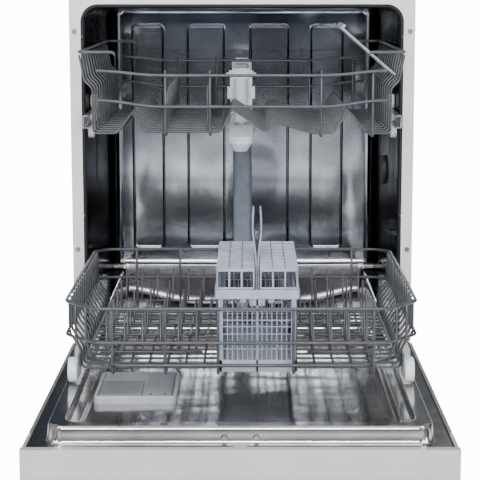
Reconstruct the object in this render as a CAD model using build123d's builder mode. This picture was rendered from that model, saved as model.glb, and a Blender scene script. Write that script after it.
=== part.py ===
"""Built in dishwasher with its door open, its lower basket drawn out and its upper basket half out.

Frame: millimetres, +Z up, +Y towards the back. The origin is on the floor, midway across the width and
midway between the open door's end and the back. Depths are measured from the front frame's face.
"""
import os
from math import cos, radians, sin

from build123d import *

os.makedirs("parts", exist_ok=True)

# ---------------------------------------------------------------- overall sizes
overall_width = 598.0
overall_height = 820.0
body_depth = 550.0
door_reach = 625.0
front_y = (door_reach - body_depth) / 2

# ---------------------------------------------------------------- sheet and fits
sheet = 1.0
panel_sheet = 1.0
plastic_wall = 2.5
running_gap = 0.08
easy_gap = 0.3
pad_gap = 1.0

# ---------------------------------------------------------------- front frame and tub
flange_width = 20.0
header_height = 31.0
frame_depth = 14.0
frame_bottom = 170.0
sill_top = 183.0
corner_radius = 30.0
bracket_sheet = 1.2
gasket_width = 5.0
tub_depth = 506.0
ledge_height = 226.0
ledge_width = 21.0
floor_height = 150.0
step_height = 241.0
step_depth = 23.0

# ---------------------------------------------------------------- base
base_bottom = 25.0
base_wall = 3.0
base_front = 84.0
rear_frame_depth = 28.0
foot_stem_radius = 5.0
foot_pad_radius = 18.0

# ---------------------------------------------------------------- door
hinge_depth = -14.0
hinge_height = 188.0
hinge_pin_radius = 4.0
door_face_height = 140.0
door_plane = 200.0
rim_height = 224.0
fascia_length = 80.0
fascia_overhang = 1.0
door_tail = 60.0

# ---------------------------------------------------------------- lower basket
main_wire = 5.0
grid_wire = 4.0
tine_wire = 3.5
lower_front = -433.0
lower_length = 485.0  # full depth of its rims
lower_half_width = 264.0
lower_rim_height = 351.0
lower_wire_pitch = 27.5
wheel_radius = 18.85
wheel_width = 15.0
wheel_lift = 0.6

# ---------------------------------------------------------------- upper basket
upper_front = -155.0
upper_length = 476.0  # full depth of its rims
upper_rim_height = 676.0
upper_hoop_count = 13
rail_height = 21.4
rail_bottom = 580.3
roller_radius = 13.0
arm_length = 214.0  # half the upper arm, short enough to clear the riser with the basket in

# ---------------------------------------------------------------- places worked out from the sizes
half_width = overall_width / 2
frame_top = overall_height - bracket_sheet
opening_half = half_width - flange_width
opening_top = frame_top + bracket_sheet - header_height
tub_half = opening_half - gasket_width
tub_top = opening_top - gasket_width
tub_front = frame_depth
tub_back = frame_depth + tub_depth
door_half = half_width - fascia_overhang


def deep(distance):
    """Y of a place this far behind the front frame's face."""
    return front_y + distance


def block(low, high, mode=Mode.ADD):
    """A rectangular block between two opposite corners."""
    size = [b - a for a, b in zip(low, high)]
    middle = [(a + b) / 2 for a, b in zip(low, high)]
    with Locations(tuple(middle)):
        Box(*size, mode=mode)


def rod(start, end, radius, mode=Mode.ADD):
    """A round bar between two points."""
    along = Vector(*end) - Vector(*start)
    with BuildSketch(Plane(origin=start, z_dir=along)) as end_face:
        Circle(radius)
    extrude(end_face.sketch, amount=along.length, mode=mode)


def wire(points, diameter):
    """A bent wire as one bar for each straight run, mitred where the wire turns."""
    corners = [Vector(*p) for p in points]
    ways = [(b - a).normalized() for a, b in zip(corners, corners[1:])]
    bars = []
    for n, way in enumerate(ways):
        joins_before = n > 0
        joins_after = n < len(ways) - 1
        spare_before = 2 * diameter if joins_before else 0
        spare_after = 2 * diameter if joins_after else 0
        run = (corners[n + 1] - corners[n]).length
        with BuildPart() as bar:
            with BuildSketch(Plane(origin=corners[n] - way * spare_before, z_dir=way)):
                Circle(diameter / 2)
            extrude(amount=run + spare_before + spare_after)
            if joins_before:
                split(bisect_by=Plane(origin=corners[n], z_dir=way + ways[n - 1]), keep=Keep.TOP)
            if joins_after:
                split(bisect_by=Plane(origin=corners[n + 1], z_dir=way + ways[n + 1]), keep=Keep.BOTTOM)
        bars.append(bar.part.solids()[0])
    return bars


def closed_wire(points, diameter):
    """A closed loop of wire that starts and ends midway along its first run."""
    middle = tuple((a + b) / 2 for a, b in zip(points[0], points[1]))
    return wire([middle, *points[1:], points[0], middle], diameter)


def at_places(bars, places):
    """Copies of the bars at each place."""
    return [bar.moved(Location(place)) for place in places for bar in bars]


def evenly(first, last, count):
    """This many values from first to last, evenly spaced."""
    return [first + (last - first) * n / (count - 1) for n in range(count)]


def save(piece, name):
    """Label a finished piece and write its file."""
    piece.label = name
    export_step(piece, f"parts/{name}.step")


# ================================================================ front frame
def arch(half, top, radius, low, depth_from, depth_to, mode=Mode.ADD):
    """A door-shaped block: straight sides, rounded top corners, flat foot."""
    with BuildSketch(Plane.XZ.offset(-deep(depth_from))) as outline:
        with BuildLine():
            Polyline((-half, top - radius), (-half, low), (half, low), (half, top - radius))
            RadiusArc((half, top - radius), (half - radius, top), -radius)
            Line((half - radius, top), (radius - half, top))
            RadiusArc((radius - half, top), (-half, top - radius), -radius)
        make_face()
    extrude(outline.sketch, amount=-(depth_to - depth_from), mode=mode)


screw_x = half_width - 9
screw_heights = (742.0, 360.0)
screw_shank = 2.0
screw_head_radius = 4.5
screw_head_depth = 2.4
with BuildPart() as front_frame:
    block((-half_width, deep(0), frame_bottom), (half_width, deep(frame_depth), frame_top))
    arch(opening_half, opening_top, corner_radius, sill_top, 0, frame_depth, mode=Mode.SUBTRACT)
    for side in (-1, 1):
        for height in screw_heights:
            rod((side * screw_x, deep(0), height), (side * screw_x, deep(frame_depth), height),
                screw_shank, mode=Mode.SUBTRACT)
    fillet(front_frame.edges().filter_by(Axis.Z).group_by(Axis.Y)[0].group_by(Axis.X)[0], 1.5)
    fillet(front_frame.edges().filter_by(Axis.Z).group_by(Axis.Y)[0].group_by(Axis.X)[-1], 1.5)
save(front_frame.part, "front_frame")


def pan_screw(place, way, shank_length):
    """A cross-recess screw; the place is on the face under its head, and way points out of it."""
    head = Plane(origin=place, z_dir=way)
    with BuildPart() as screw:
        with BuildSketch(head):
            Circle(screw_head_radius)
        extrude(amount=screw_head_depth, taper=25)
        with BuildSketch(head):
            Circle(screw_shank)
        extrude(amount=-shank_length)
        with BuildSketch(head.offset(screw_head_depth)):
            Rectangle(5, 1)
            Rectangle(1, 5)
        extrude(amount=-1.2, mode=Mode.SUBTRACT)
    return screw.part.solids()[0]


screws = [pan_screw((side * screw_x, deep(0), height), (0, -1, 0), frame_depth - 1)
          for side in (-1, 1) for height in screw_heights]
save(Compound(children=screws), "frame_screws")

with BuildPart() as door_gasket:
    arch(opening_half, opening_top, corner_radius, sill_top, 1, tub_front, mode=Mode.ADD)
    arch(tub_half, tub_top, corner_radius - gasket_width, sill_top, 1, tub_front, mode=Mode.SUBTRACT)
    block((-tub_half + 4, deep(-4), sill_top - 11), (tub_half - 4, deep(0), sill_top - 1))
save(door_gasket.part, "door_gasket")

# ================================================================ tub
axle_radius = 3.0
roller_depths = {"lower": 40.0, "upper": 92.0}
roller_heights = {"lower": rail_bottom - roller_radius - 0.1,
                  "upper": rail_bottom + rail_height + roller_radius + 0.1}
rail_width = 9.0
rail_outer = tub_half - 3
with BuildPart() as tub_wrapper:
    arch(tub_half + sheet, tub_top + sheet, corner_radius - gasket_width + sheet,
         ledge_height - sheet, tub_front, tub_back)
    arch(half_width - 2, frame_top - 2, corner_radius, ledge_height - sheet, tub_front, tub_front + sheet)
    arch(tub_half, tub_top, corner_radius - gasket_width, ledge_height - 2 * sheet,
         tub_front - 1, tub_back + 1, mode=Mode.SUBTRACT)
    for side in (-1, 1):
        for name, height in roller_heights.items():
            depth = deep(roller_depths[name])
            rod((side * tub_half, depth, height), (side * (rail_outer - rail_width), depth, height),
                axle_radius)
save(tub_wrapper.part, "tub_wrapper")

bead_low = 267.0
bead_high = 740.0
bead_ridge = 5.0
bead_rise = 2.0
bead_spans = ((-233.0, -165.0), (-118.0, -38.0), (12.0, 95.0), (138.0, 208.0))
with BuildPart() as tub_rear_wall:
    arch(tub_half, tub_top, corner_radius - gasket_width, step_height, tub_back - sheet, tub_back)
    with BuildSketch(Plane.XZ.offset(-deep(tub_back - sheet))):
        for left, right in bead_spans:
            with Locations(((left + right) / 2, (bead_low + bead_high) / 2)):
                RectangleRounded(right - left, bead_high - bead_low, 10)
                RectangleRounded(right - left - 2 * bead_ridge, bead_high - bead_low - 2 * bead_ridge, 6,
                                 mode=Mode.SUBTRACT)
    extrude(amount=bead_rise, taper=20)
save(tub_rear_wall.part, "tub_rear_wall")

riser_back = tub_back - sheet - bead_rise
sump_x = 85.0
sump_front = base_front + base_wall + 8 + pad_gap
sump_back = 285.0
duct_x = -2.5
duct_inside = 12.0
float_x = 205.0
float_depth = 82.0
float_stem_radius = 3.0
ledge_inner = tub_half - ledge_width
with BuildPart() as tub_floor_pan:
    with BuildSketch(Plane.XZ.offset(-deep(tub_front))):
        with BuildLine():
            Polyline((-tub_half, ledge_height), (-ledge_inner, ledge_height), (-ledge_inner + 7, 176),
                     (-190, 158), (-90, floor_height), (90, floor_height), (190, 158),
                     (ledge_inner - 7, 176), (ledge_inner, ledge_height), (tub_half, ledge_height),
                     (tub_half, ledge_height - sheet), (ledge_inner + sheet, ledge_height - sheet),
                     (ledge_inner - 7 + sheet, 176 - sheet), (190, 158 - sheet),
                     (90, floor_height - sheet), (-90, floor_height - sheet), (-190, 158 - sheet),
                     (-ledge_inner + 7 - sheet, 176 - sheet), (-ledge_inner - sheet, ledge_height - sheet),
                     (-tub_half, ledge_height - sheet), close=True)
        make_face()
    extrude(amount=-(tub_depth - step_depth))
    step_front = tub_back - step_depth
    block((-ledge_inner + 8, deep(tub_front), floor_height - sheet),
          (ledge_inner - 8, deep(tub_front + sheet), sill_top))
    block((-tub_half, deep(step_front), floor_height - sheet),
          (tub_half, deep(step_front + sheet), step_height))
    block((-tub_half, deep(step_front), step_height - sheet), (tub_half, deep(tub_back), step_height))
    block((-sump_x, deep(sump_front), 0), (sump_x, deep(sump_back), floor_height + 1), mode=Mode.SUBTRACT)
    rod((float_x, deep(float_depth), 140), (float_x, deep(float_depth), 200),
        float_stem_radius + easy_gap, mode=Mode.SUBTRACT)
    block((duct_x - duct_inside, deep(step_front - 1), floor_height), (duct_x + duct_inside,
                                                                      deep(step_front + 2), 166),
          mode=Mode.SUBTRACT)
    block((duct_x - duct_inside, deep(step_front + 2), step_height - 2), (duct_x + duct_inside,
                                                                         deep(riser_back), step_height + 1),
          mode=Mode.SUBTRACT)
save(tub_floor_pan.part, "tub_floor_pan")

vent_radius = 29.5
vent_depth = 270.0
vent_height = 468.5
with BuildPart() as steam_vent_cap:
    with BuildSketch(Plane(origin=(tub_half, deep(vent_depth), vent_height), z_dir=(-1, 0, 0))):
        Circle(vent_radius)
    extrude(amount=6, taper=20)
    with BuildSketch(Plane(origin=(tub_half - 6, deep(vent_depth), vent_height), z_dir=(-1, 0, 0))):
        with GridLocations(0, 8, 1, 5):
            SlotOverall(36, 3)
    extrude(amount=-3, mode=Mode.SUBTRACT)
save(steam_vent_cap.part, "steam_vent_cap")

# ================================================================ outer casing
blanket_gap = 0.3
blanket_thickness = 8.0
with BuildPart() as insulation_blanket:
    inner_half = tub_half + sheet + blanket_gap
    inner_top = tub_top + sheet + blanket_gap
    arch(inner_half + blanket_thickness, inner_top + blanket_thickness, corner_radius, ledge_height,
         tub_front + 2 * sheet, tub_back)
    arch(inner_half, inner_top, corner_radius - gasket_width + sheet + blanket_gap, ledge_height - 1,
         tub_front, tub_back + 1, mode=Mode.SUBTRACT)
save(insulation_blanket.part, "insulation_blanket")

with BuildPart() as side_panels:
    with BuildSketch(Plane.YZ.offset(half_width - panel_sheet)):
        with BuildLine():
            Polyline((deep(frame_depth), frame_top), (deep(frame_depth), frame_bottom),
                     (deep(base_front), frame_bottom), (deep(base_front), base_bottom),
                     (deep(body_depth), base_bottom), (deep(body_depth), frame_top), close=True)
        make_face()
    extrude(amount=panel_sheet)
    mirror(about=Plane.YZ)
save(side_panels.part, "side_panels")

post_width = 14.0
with BuildPart() as rear_frame:
    inner = half_width - panel_sheet
    block((inner - post_width, deep(body_depth - rear_frame_depth), 160),
          (inner, deep(body_depth), frame_top - 24))
    mirror(about=Plane.YZ)
    block((-inner, deep(body_depth - rear_frame_depth), frame_top - 24), (inner, deep(body_depth), frame_top))
save(rear_frame.part, "rear_frame")

bracket_x = 200.0
bracket_hole_radius = 2.6
with BuildPart() as top_mount_brackets:
    for side in (-1, 1):
        block((side * bracket_x - 20, deep(2), frame_top), (side * bracket_x + 20, deep(34), overall_height))
    with Locations((-bracket_x, deep(22), overall_height), (bracket_x, deep(22), overall_height)):
        Hole(bracket_hole_radius, depth=bracket_sheet)
save(top_mount_brackets.part, "top_mount_brackets")

# ================================================================ base
base_half = half_width - panel_sheet - pad_gap
base_back = tub_back
base_top = 150.0
foot_x = 262.0
foot_depths = {"front": 112.0, "rear": 492.0}
boss_radius = 14.0
boss_height = 35.0
with BuildPart() as base_tray:
    block((-base_half, deep(base_front), base_bottom), (base_half, deep(base_back), base_top - 20))
    block((-base_half + base_wall, deep(base_front + base_wall), base_bottom + base_wall),
          (base_half - base_wall, deep(base_back - base_wall), base_top), mode=Mode.SUBTRACT)
    for side in (-1, 1):
        block((side * (base_half - 22) - 22, deep(base_front), base_top - 20),
              (side * (base_half - 22) + 22, deep(base_front + base_wall), base_top))
        for depth in foot_depths.values():
            rod((side * foot_x, deep(depth), base_bottom),
                (side * foot_x, deep(depth), base_bottom + boss_height), boss_radius)
            rod((side * foot_x, deep(depth), base_bottom),
                (side * foot_x, deep(depth), base_bottom + boss_height),
                foot_stem_radius + running_gap, mode=Mode.SUBTRACT)
save(base_tray.part, "base_tray")

for end, depth in foot_depths.items():
    for hand, side in (("left", -1), ("right", 1)):
        with BuildPart() as foot:
            with BuildSketch():
                with Locations((side * foot_x, deep(depth))):
                    Circle(foot_pad_radius)
            extrude(amount=8)
            with BuildSketch(Plane.XY.offset(8)):
                with Locations((side * foot_x, deep(depth))):
                    RegularPolygon(11, 6)
            extrude(amount=base_bottom - 8 - pad_gap)
            with BuildSketch(Plane.XY.offset(base_bottom - pad_gap)):
                with Locations((side * foot_x, deep(depth))):
                    Circle(foot_stem_radius)
            extrude(amount=boss_height + pad_gap - 2)
        save(foot.part, f"foot_{end}_{hand}")

base_floor = base_bottom + base_wall
with BuildPart() as ballast_block:
    block((-180, deep(425), base_floor), (180, deep(base_back - base_wall - 2), base_floor + 42))
    fillet(ballast_block.edges().filter_by(Axis.Z), 6)
save(ballast_block.part, "ballast_block")

sump_wall = 3.0
sump_bottom = 96.0
with BuildPart() as sump_housing:
    block((-sump_x - 8, deep(sump_front - 8), sump_bottom), (sump_x + 8, deep(sump_back + 8),
                                                            floor_height - sheet))
    fillet(sump_housing.edges().filter_by(Axis.Z), 14)
    block((-sump_x, deep(sump_front), sump_bottom + sump_wall), (sump_x, deep(sump_back), floor_height),
          mode=Mode.SUBTRACT)
save(sump_housing.part, "sump_housing")

filter_depth = 130.0
filter_radius = 34.0
hub_x = -11.0
hub_depth = 240.0
hub_post_radius = 16.0
duct_half = 19.5
with BuildPart() as fine_filter_plate:
    block((-sump_x + easy_gap, deep(sump_front + easy_gap), floor_height - 2.5),
          (sump_x - easy_gap, deep(sump_back - easy_gap), floor_height - 0.5))
    with Locations((0, deep(filter_depth), floor_height)):
        Cylinder(filter_radius + easy_gap, 20, mode=Mode.SUBTRACT)
    with BuildSketch(Plane.XY.offset(floor_height)):
        with Locations((-60, deep(filter_depth + 20)), (60, deep(filter_depth + 20))):
            with GridLocations(0, 14, 1, 9):
                SlotOverall(34, 4)
    extrude(amount=-5, mode=Mode.SUBTRACT)
save(fine_filter_plate.part, "fine_filter_plate")

with BuildPart() as coarse_filter:
    with Locations((0, deep(filter_depth), (sump_bottom + sump_wall + 3 + floor_height + 6) / 2)):
        Cylinder(filter_radius, floor_height + 6 - sump_bottom - sump_wall - 3)
    top_edges = coarse_filter.edges().filter_by(GeomType.CIRCLE).group_by(Axis.Z)
    fillet(top_edges[-1], 2)
    with Locations((0, deep(filter_depth), floor_height + 6)):
        Box(46, 9, 28)
    block((-8, deep(filter_depth) - 5, floor_height + 10), (8, deep(filter_depth) + 5, floor_height + 16),
          mode=Mode.SUBTRACT)
save(coarse_filter.part, "coarse_filter")

with BuildPart() as overfill_float:
    rod((float_x, deep(float_depth), 152), (float_x, deep(float_depth), 172), float_stem_radius)
    rod((float_x, deep(float_depth), 170), (float_x, deep(float_depth), 190), 13)
    fillet(overfill_float.edges().filter_by(GeomType.CIRCLE).group_by(Axis.Z)[-1], 6)
save(overfill_float.part, "overfill_float")

pump_depth = 352.0
pump_height = 96.0
with BuildPart() as circulation_pump:
    rod((-96, deep(pump_depth), pump_height), (54, deep(pump_depth), pump_height), 38)
    rod((54, deep(pump_depth), pump_height), (84, deep(pump_depth), pump_height), 46)
    rod((69, deep(pump_depth - 40), pump_height + 14), (69, deep(sump_back + 8), pump_height + 14), 13)
save(circulation_pump.part, "circulation_pump")

with BuildPart() as drain_pump:
    rod((sump_x + 8, deep(190), sump_bottom + 20), (sump_x + 26, deep(190), sump_bottom + 20), 11)
    rod((sump_x + 26, deep(190), sump_bottom + 20), (sump_x + 92, deep(190), sump_bottom + 20), 25)
save(drain_pump.part, "drain_pump")

inlet_x = -228.0
inlet_height = 105.0
inlet_radius = 13.2
drain_x = -170.0
drain_radius = 10.0
spigot_end = body_depth - 1
with BuildPart() as water_bulkhead:
    block((-256, deep(base_back), 80), (-146, deep(base_back + 6), 128))
    rod((inlet_x, deep(base_back + 6), inlet_height), (inlet_x, deep(spigot_end), inlet_height), inlet_radius)
    rod((drain_x, deep(base_back + 6), inlet_height), (drain_x, deep(spigot_end), inlet_height), drain_radius)
    rod((inlet_x, deep(base_back + 6), inlet_height), (inlet_x, deep(spigot_end), inlet_height), 8,
        mode=Mode.SUBTRACT)
    rod((drain_x, deep(base_back + 6), inlet_height), (drain_x, deep(spigot_end), inlet_height), 7.5,
        mode=Mode.SUBTRACT)
save(water_bulkhead.part, "water_bulkhead")

with BuildPart() as junction_box:
    block((196, deep(base_back), 62), (268, deep(base_back + 26), 124))
    fillet(junction_box.edges().group_by(Axis.Y)[-1], 3)
save(junction_box.part, "junction_box")

# ================================================================ water path inside the tub
riser_thickness = 20.0
riser_top = 664.0
post_top = 178.0
spigot_radius = 9.0
spigot_top = 190.0
riser_front = riser_back - riser_thickness
with BuildPart() as riser_pipe:
    block((duct_x - duct_half, deep(riser_front), step_height), (duct_x + duct_half, deep(riser_back),
                                                                riser_top))
    fillet(riser_pipe.edges().filter_by(Axis.Z).group_by(Axis.Y)[0], 8)
    block((duct_x - 14, deep(riser_front), riser_top - 4), (duct_x + 14, deep(riser_back - 4), riser_top + 6))
    block((duct_x - duct_inside, deep(step_front + 2), floor_height), (duct_x + duct_inside,
                                                                      deep(riser_back), step_height + 1))
    block((duct_x - duct_inside, deep(hub_depth + 4), floor_height), (duct_x + duct_inside,
                                                                     deep(step_front + 3), 166))
    with Locations((hub_x, deep(hub_depth), (floor_height - 0.5 + post_top) / 2)):
        Cylinder(hub_post_radius, post_top - floor_height + 0.5)
    with Locations((hub_x, deep(hub_depth), (post_top + spigot_top) / 2)):
        Cylinder(spigot_radius, spigot_top - post_top)
save(riser_pipe.part, "riser_pipe")


def spray_arm(x, y, low, high, half_length, along, width):
    """A two-bladed arm with rounded tips, turning about an upright axis at x, y."""
    with BuildPart() as arm:
        with BuildSketch(Plane(origin=(x, y, low), x_dir=along, z_dir=(0, 0, 1))):
            SlotOverall(2 * half_length, width)
            Circle(width / 2 + 5)
        extrude(amount=high - low)
        chamfer(arm.edges().group_by(Axis.Z)[0], (high - low) * 0.55, (high - low) * 0.4)
        fillet(arm.edges().group_by(Axis.Z)[-1], 2.5)
    return arm


lower_arm_low = post_top + 0.4
lower_arm_high = 193.0
lower_arm_half = 211.0
lower_arm = spray_arm(hub_x, deep(hub_depth), lower_arm_low, lower_arm_high, lower_arm_half, (1, 0, 0), 40)
with BuildPart() as lower_spray_arm:
    add(lower_arm.part)
    with Locations((hub_x, deep(hub_depth), (lower_arm_low + spigot_top) / 2)):
        Cylinder(spigot_radius + running_gap, spigot_top + 1 - lower_arm_low, mode=Mode.SUBTRACT)
save(lower_spray_arm.part, "lower_spray_arm")

# ================================================================ door hinges
hinge_y = deep(hinge_depth)
arm_outer = opening_half + 4
arm_sheet = 3.5
bracket_inner = arm_outer + pad_gap
bracket_sheet_thickness = 3.0
with BuildPart() as hinge_brackets:
    with BuildSketch(Plane.YZ.offset(bracket_inner)):
        with BuildLine():
            Polyline((deep(-26), 150), (deep(-26), 197), (deep(-2), 197), (deep(-2), frame_bottom),
                     (deep(base_front + 3), frame_bottom), (deep(base_front + 3), 150), close=True)
        make_face()
    extrude(amount=bracket_sheet_thickness)
    rod((arm_outer - arm_sheet - 1, hinge_y, hinge_height),
        (bracket_inner + bracket_sheet_thickness, hinge_y, hinge_height), hinge_pin_radius)
    mirror(about=Plane.YZ)
save(hinge_brackets.part, "hinge_brackets")

with BuildPart() as hinge_arms:
    with BuildSketch(Plane.YZ.offset(arm_outer - arm_sheet)):
        with BuildLine():
            Polyline((deep(-150), 160), (deep(-150), 178), (deep(-24), 196), (deep(-6), 196),
                     (deep(-6), 166), (deep(56), 166), (deep(56), 152), (deep(-30), 152), close=True)
        make_face()
        with Locations((hinge_y, hinge_height)):
            Circle(hinge_pin_radius + running_gap, mode=Mode.SUBTRACT)
    extrude(amount=arm_sheet)
    mirror(about=Plane.YZ)
save(hinge_arms.part, "hinge_arms")

spring_x = tub_half
spring_radius = 5.5
with BuildPart() as door_springs:
    rod((spring_x, deep(60), 159), (spring_x, deep(250), 159), spring_radius)
    rod((spring_x, deep(250), 159), (spring_x, deep(262), 159), 2)
    mirror(about=Plane.YZ)
save(door_springs.part, "door_springs")

# ================================================================ door
fascia_end = -door_reach + fascia_length
liner_half = door_half - 8
liner_front = -door_reach + 13
liner_back = -12.0
plateau_half = tub_half - 4.5
plateau_front = -599.0
plateau_back = -16.0
rim_width = 26.0
front_rim_width = 24.0
recess_step = 9.0
step_ledge = 18.0
panel_gap = 0.4


def slab(half, start, end, low, high, radius, mode=Mode.ADD, taper=0):
    """A rounded rectangular slab on the door: half width, depths from and to, and its two heights."""
    with BuildSketch(Plane.XY.offset(low)) as outline:
        with Locations((0, deep((start + end) / 2))):
            RectangleRounded(2 * half, end - start, radius)
    extrude(outline.sketch, amount=high - low, taper=taper, mode=mode)


disp_left = -219.0
disp_right = -96.0
disp_front = -430.0
disp_back = -290.0
disp_top = 217.0
recess_floor = rim_height - 2 * recess_step
latch_half = 12.5
latch_front = plateau_front - 11
with BuildPart() as door_liner:
    slab(liner_half, liner_front, liner_back, door_plane - sheet, door_plane, 4)
    slab(plateau_half, plateau_front, plateau_back, door_plane - sheet, rim_height, 25, taper=4)
    slab(plateau_half - sheet - 0.6, plateau_front + sheet + 0.6, plateau_back - sheet - 0.6,
         door_plane - 2 * sheet, rim_height - sheet, 24, mode=Mode.SUBTRACT, taper=4)
    outer_half = plateau_half - rim_width
    slab(outer_half + sheet, plateau_front + front_rim_width - sheet, plateau_back - front_rim_width + sheet,
         rim_height - recess_step - sheet, rim_height - sheet, 21)
    slab(outer_half - step_ledge + sheet, plateau_front + front_rim_width + step_ledge - sheet,
         plateau_back - front_rim_width - step_ledge + sheet, recess_floor - sheet,
         rim_height - recess_step, 21)
    slab(outer_half, plateau_front + front_rim_width, plateau_back - front_rim_width,
         rim_height - recess_step, rim_height + 1, 20, mode=Mode.SUBTRACT)
    slab(outer_half - step_ledge, plateau_front + front_rim_width + step_ledge,
         plateau_back - front_rim_width - step_ledge, recess_floor, rim_height, 20, mode=Mode.SUBTRACT)
    block((disp_left + 6, deep(disp_front + 6), recess_floor - 3),
          (disp_right - 6, deep(disp_back - 6), recess_floor + 3), mode=Mode.SUBTRACT)
    block((-latch_half - easy_gap, deep(latch_front - easy_gap), door_plane - 3),
          (latch_half + easy_gap, deep(plateau_front - 1), door_plane + 1), mode=Mode.SUBTRACT)
    for side in (-1, 1):
        rod((side * 22, deep(plateau_front - 2), 209), (side * 22, deep(plateau_front + 6), 209),
            screw_shank, mode=Mode.SUBTRACT)
save(door_liner.part, "door_liner")

with BuildPart() as door_outer_panel:
    block((-door_half, deep(fascia_end + panel_gap), door_face_height),
          (door_half, deep(door_tail), door_plane - sheet))
    block((-door_half + panel_sheet, deep(fascia_end), door_face_height + panel_sheet),
          (door_half - panel_sheet, deep(door_tail - panel_sheet), door_plane), mode=Mode.SUBTRACT)
    block((-door_half - 1, deep(-30), door_face_height + 8), (door_half + 1, deep(door_tail + 1), door_plane),
          mode=Mode.SUBTRACT)
    for side in (-1, 1):
        edge = side * (door_half - 3)
        block((edge - 3, deep(fascia_end + panel_gap), door_plane - 2 * sheet),
              (edge + 3, deep(-30), door_plane - sheet))
save(door_outer_panel.part, "door_outer_panel")

strip_width = 2.0
with BuildPart() as door_edge_seals:
    block((liner_half, deep(liner_front), door_plane - sheet),
          (liner_half + strip_width, deep(liner_back - 18), door_plane + 0.6))
    mirror(about=Plane.YZ)
save(door_edge_seals.part, "door_edge_seals")

button_x = {"power": 245.0, "start": 205.0}
button_depth = -585.0
button_radius = 7.0
pocket_half = 75.0
with BuildPart() as control_fascia:
    with BuildSketch(Plane.YZ.offset(-half_width)):
        with BuildLine():
            Polyline((deep(-door_reach), door_plane), (deep(-door_reach), 161), (deep(-door_reach + 10),
                     door_face_height), (deep(fascia_end), door_face_height),
                     (deep(fascia_end), door_plane - 2 * sheet - 1), (deep(liner_front - panel_gap),
                     door_plane - 2 * sheet - 1), (deep(liner_front - panel_gap), door_plane), close=True)
        make_face()
    extrude(amount=overall_width)
    cavity_front = -door_reach + 12.5
    cavity_low = door_face_height + plastic_wall
    cavity_high = door_plane - 2 * sheet - 1 - plastic_wall
    for side in (-1, 1):
        block((side * (half_width + pocket_half) / 2 - (half_width - pocket_half - 8) / 2 + 1,
               deep(cavity_front), cavity_low),
              (side * (half_width + pocket_half) / 2 + (half_width - pocket_half - 8) / 2 - 1,
               deep(fascia_end - plastic_wall), cavity_high), mode=Mode.SUBTRACT)
    block((-pocket_half, deep(-604), door_face_height - 1), (pocket_half, deep(-558), 166),
          mode=Mode.SUBTRACT)
    block((-latch_half - easy_gap, deep(latch_front - easy_gap), 182),
          (latch_half + easy_gap, deep(plateau_front + 4), door_plane), mode=Mode.SUBTRACT)
    for x in button_x.values():
        rod((x, deep(button_depth), door_face_height - 1), (x, deep(button_depth), cavity_low + 1),
            button_radius + easy_gap, mode=Mode.SUBTRACT)
save(control_fascia.part, "control_fascia")

for name, x in button_x.items():
    with BuildPart() as button:
        rod((x, deep(button_depth), door_face_height + 0.2), (x, deep(button_depth), cavity_low + 3),
            button_radius)
        fillet(button.edges().group_by(Axis.Z)[0], 1)
        rod((x, deep(button_depth), cavity_low + 3), (x, deep(button_depth), cavity_low + 5), 9)
        rod((x, deep(button_depth), cavity_low + 5), (x, deep(button_depth), cavity_low + 14), 3)
    save(button.part, f"{name}_button")

board_low = cavity_low + 20
with BuildPart() as control_board:
    block((110, deep(-607), board_low), (285, deep(-555), board_low + 1.6))
    block((120, deep(-600), board_low + 1.6), (150, deep(-570), board_low + 16))
    block((170, deep(-595), board_low + 1.6), (184, deep(-565), board_low + 12))
    for x in button_x.values():
        block((x - 5, deep(button_depth) - 5, board_low - 2), (x + 5, deep(button_depth) + 5, board_low))
save(control_board.part, "control_board")

with BuildPart() as door_latch:
    block((-latch_half, deep(latch_front), 184), (latch_half, deep(plateau_front - 1.4), door_plane + 3))
    chamfer(door_latch.edges().filter_by(Axis.Z).group_by(Axis.Y)[0], 5)
    block((-6, deep(latch_front + 3), door_plane - 6), (6, deep(plateau_front - 5), door_plane + 4),
          mode=Mode.SUBTRACT)
save(door_latch.part, "door_latch")

latch_screws = [pan_screw((side * 22, deep(plateau_front) + 0.3, 209), (0, -1, 0), 5)
                for side in (-1, 1)]
save(Compound(children=latch_screws), "door_screws")

disp_low = 166.0

# ================================================================ dispenser
disp_x = (disp_left + disp_right) / 2
disp_middle = (disp_front + disp_back) / 2
lid_thickness = 3.2
deck = disp_top - lid_thickness - 0.6
lid_left = disp_left + 6
lid_split = -148.0
lid_length = 84.0
rinse_left = lid_split + 3
rinse_right = disp_right - 6
rinse_hinge = disp_back - 10
with BuildPart() as dispenser_housing:
    with BuildSketch(Plane.XY.offset(recess_floor)):
        with Locations((disp_x, deep(disp_middle))):
            RectangleRounded(disp_right - disp_left, disp_back - disp_front, 9)
    extrude(amount=disp_top + 1 - recess_floor)
    fillet(dispenser_housing.edges().group_by(Axis.Z)[-1], 2.5)
    block((disp_left + 7, deep(disp_front + 7), disp_low), (disp_right - 7, deep(disp_back - 7),
                                                            recess_floor))
    block((disp_left + 5, deep(disp_front + 5), deck), (disp_right - 5, deep(disp_back - 5), disp_top + 2),
          mode=Mode.SUBTRACT)
    block((lid_left + 4, deep(disp_front + 12), deck - 34), (lid_split - 4, deep(disp_front + 82), deck),
          mode=Mode.SUBTRACT)
    rod(((rinse_left + rinse_right) / 2, deep(disp_middle - 25), deck - 24),
        ((rinse_left + rinse_right) / 2, deep(disp_middle - 25), deck), 10, mode=Mode.SUBTRACT)
save(dispenser_housing.part, "dispenser_housing")

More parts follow.
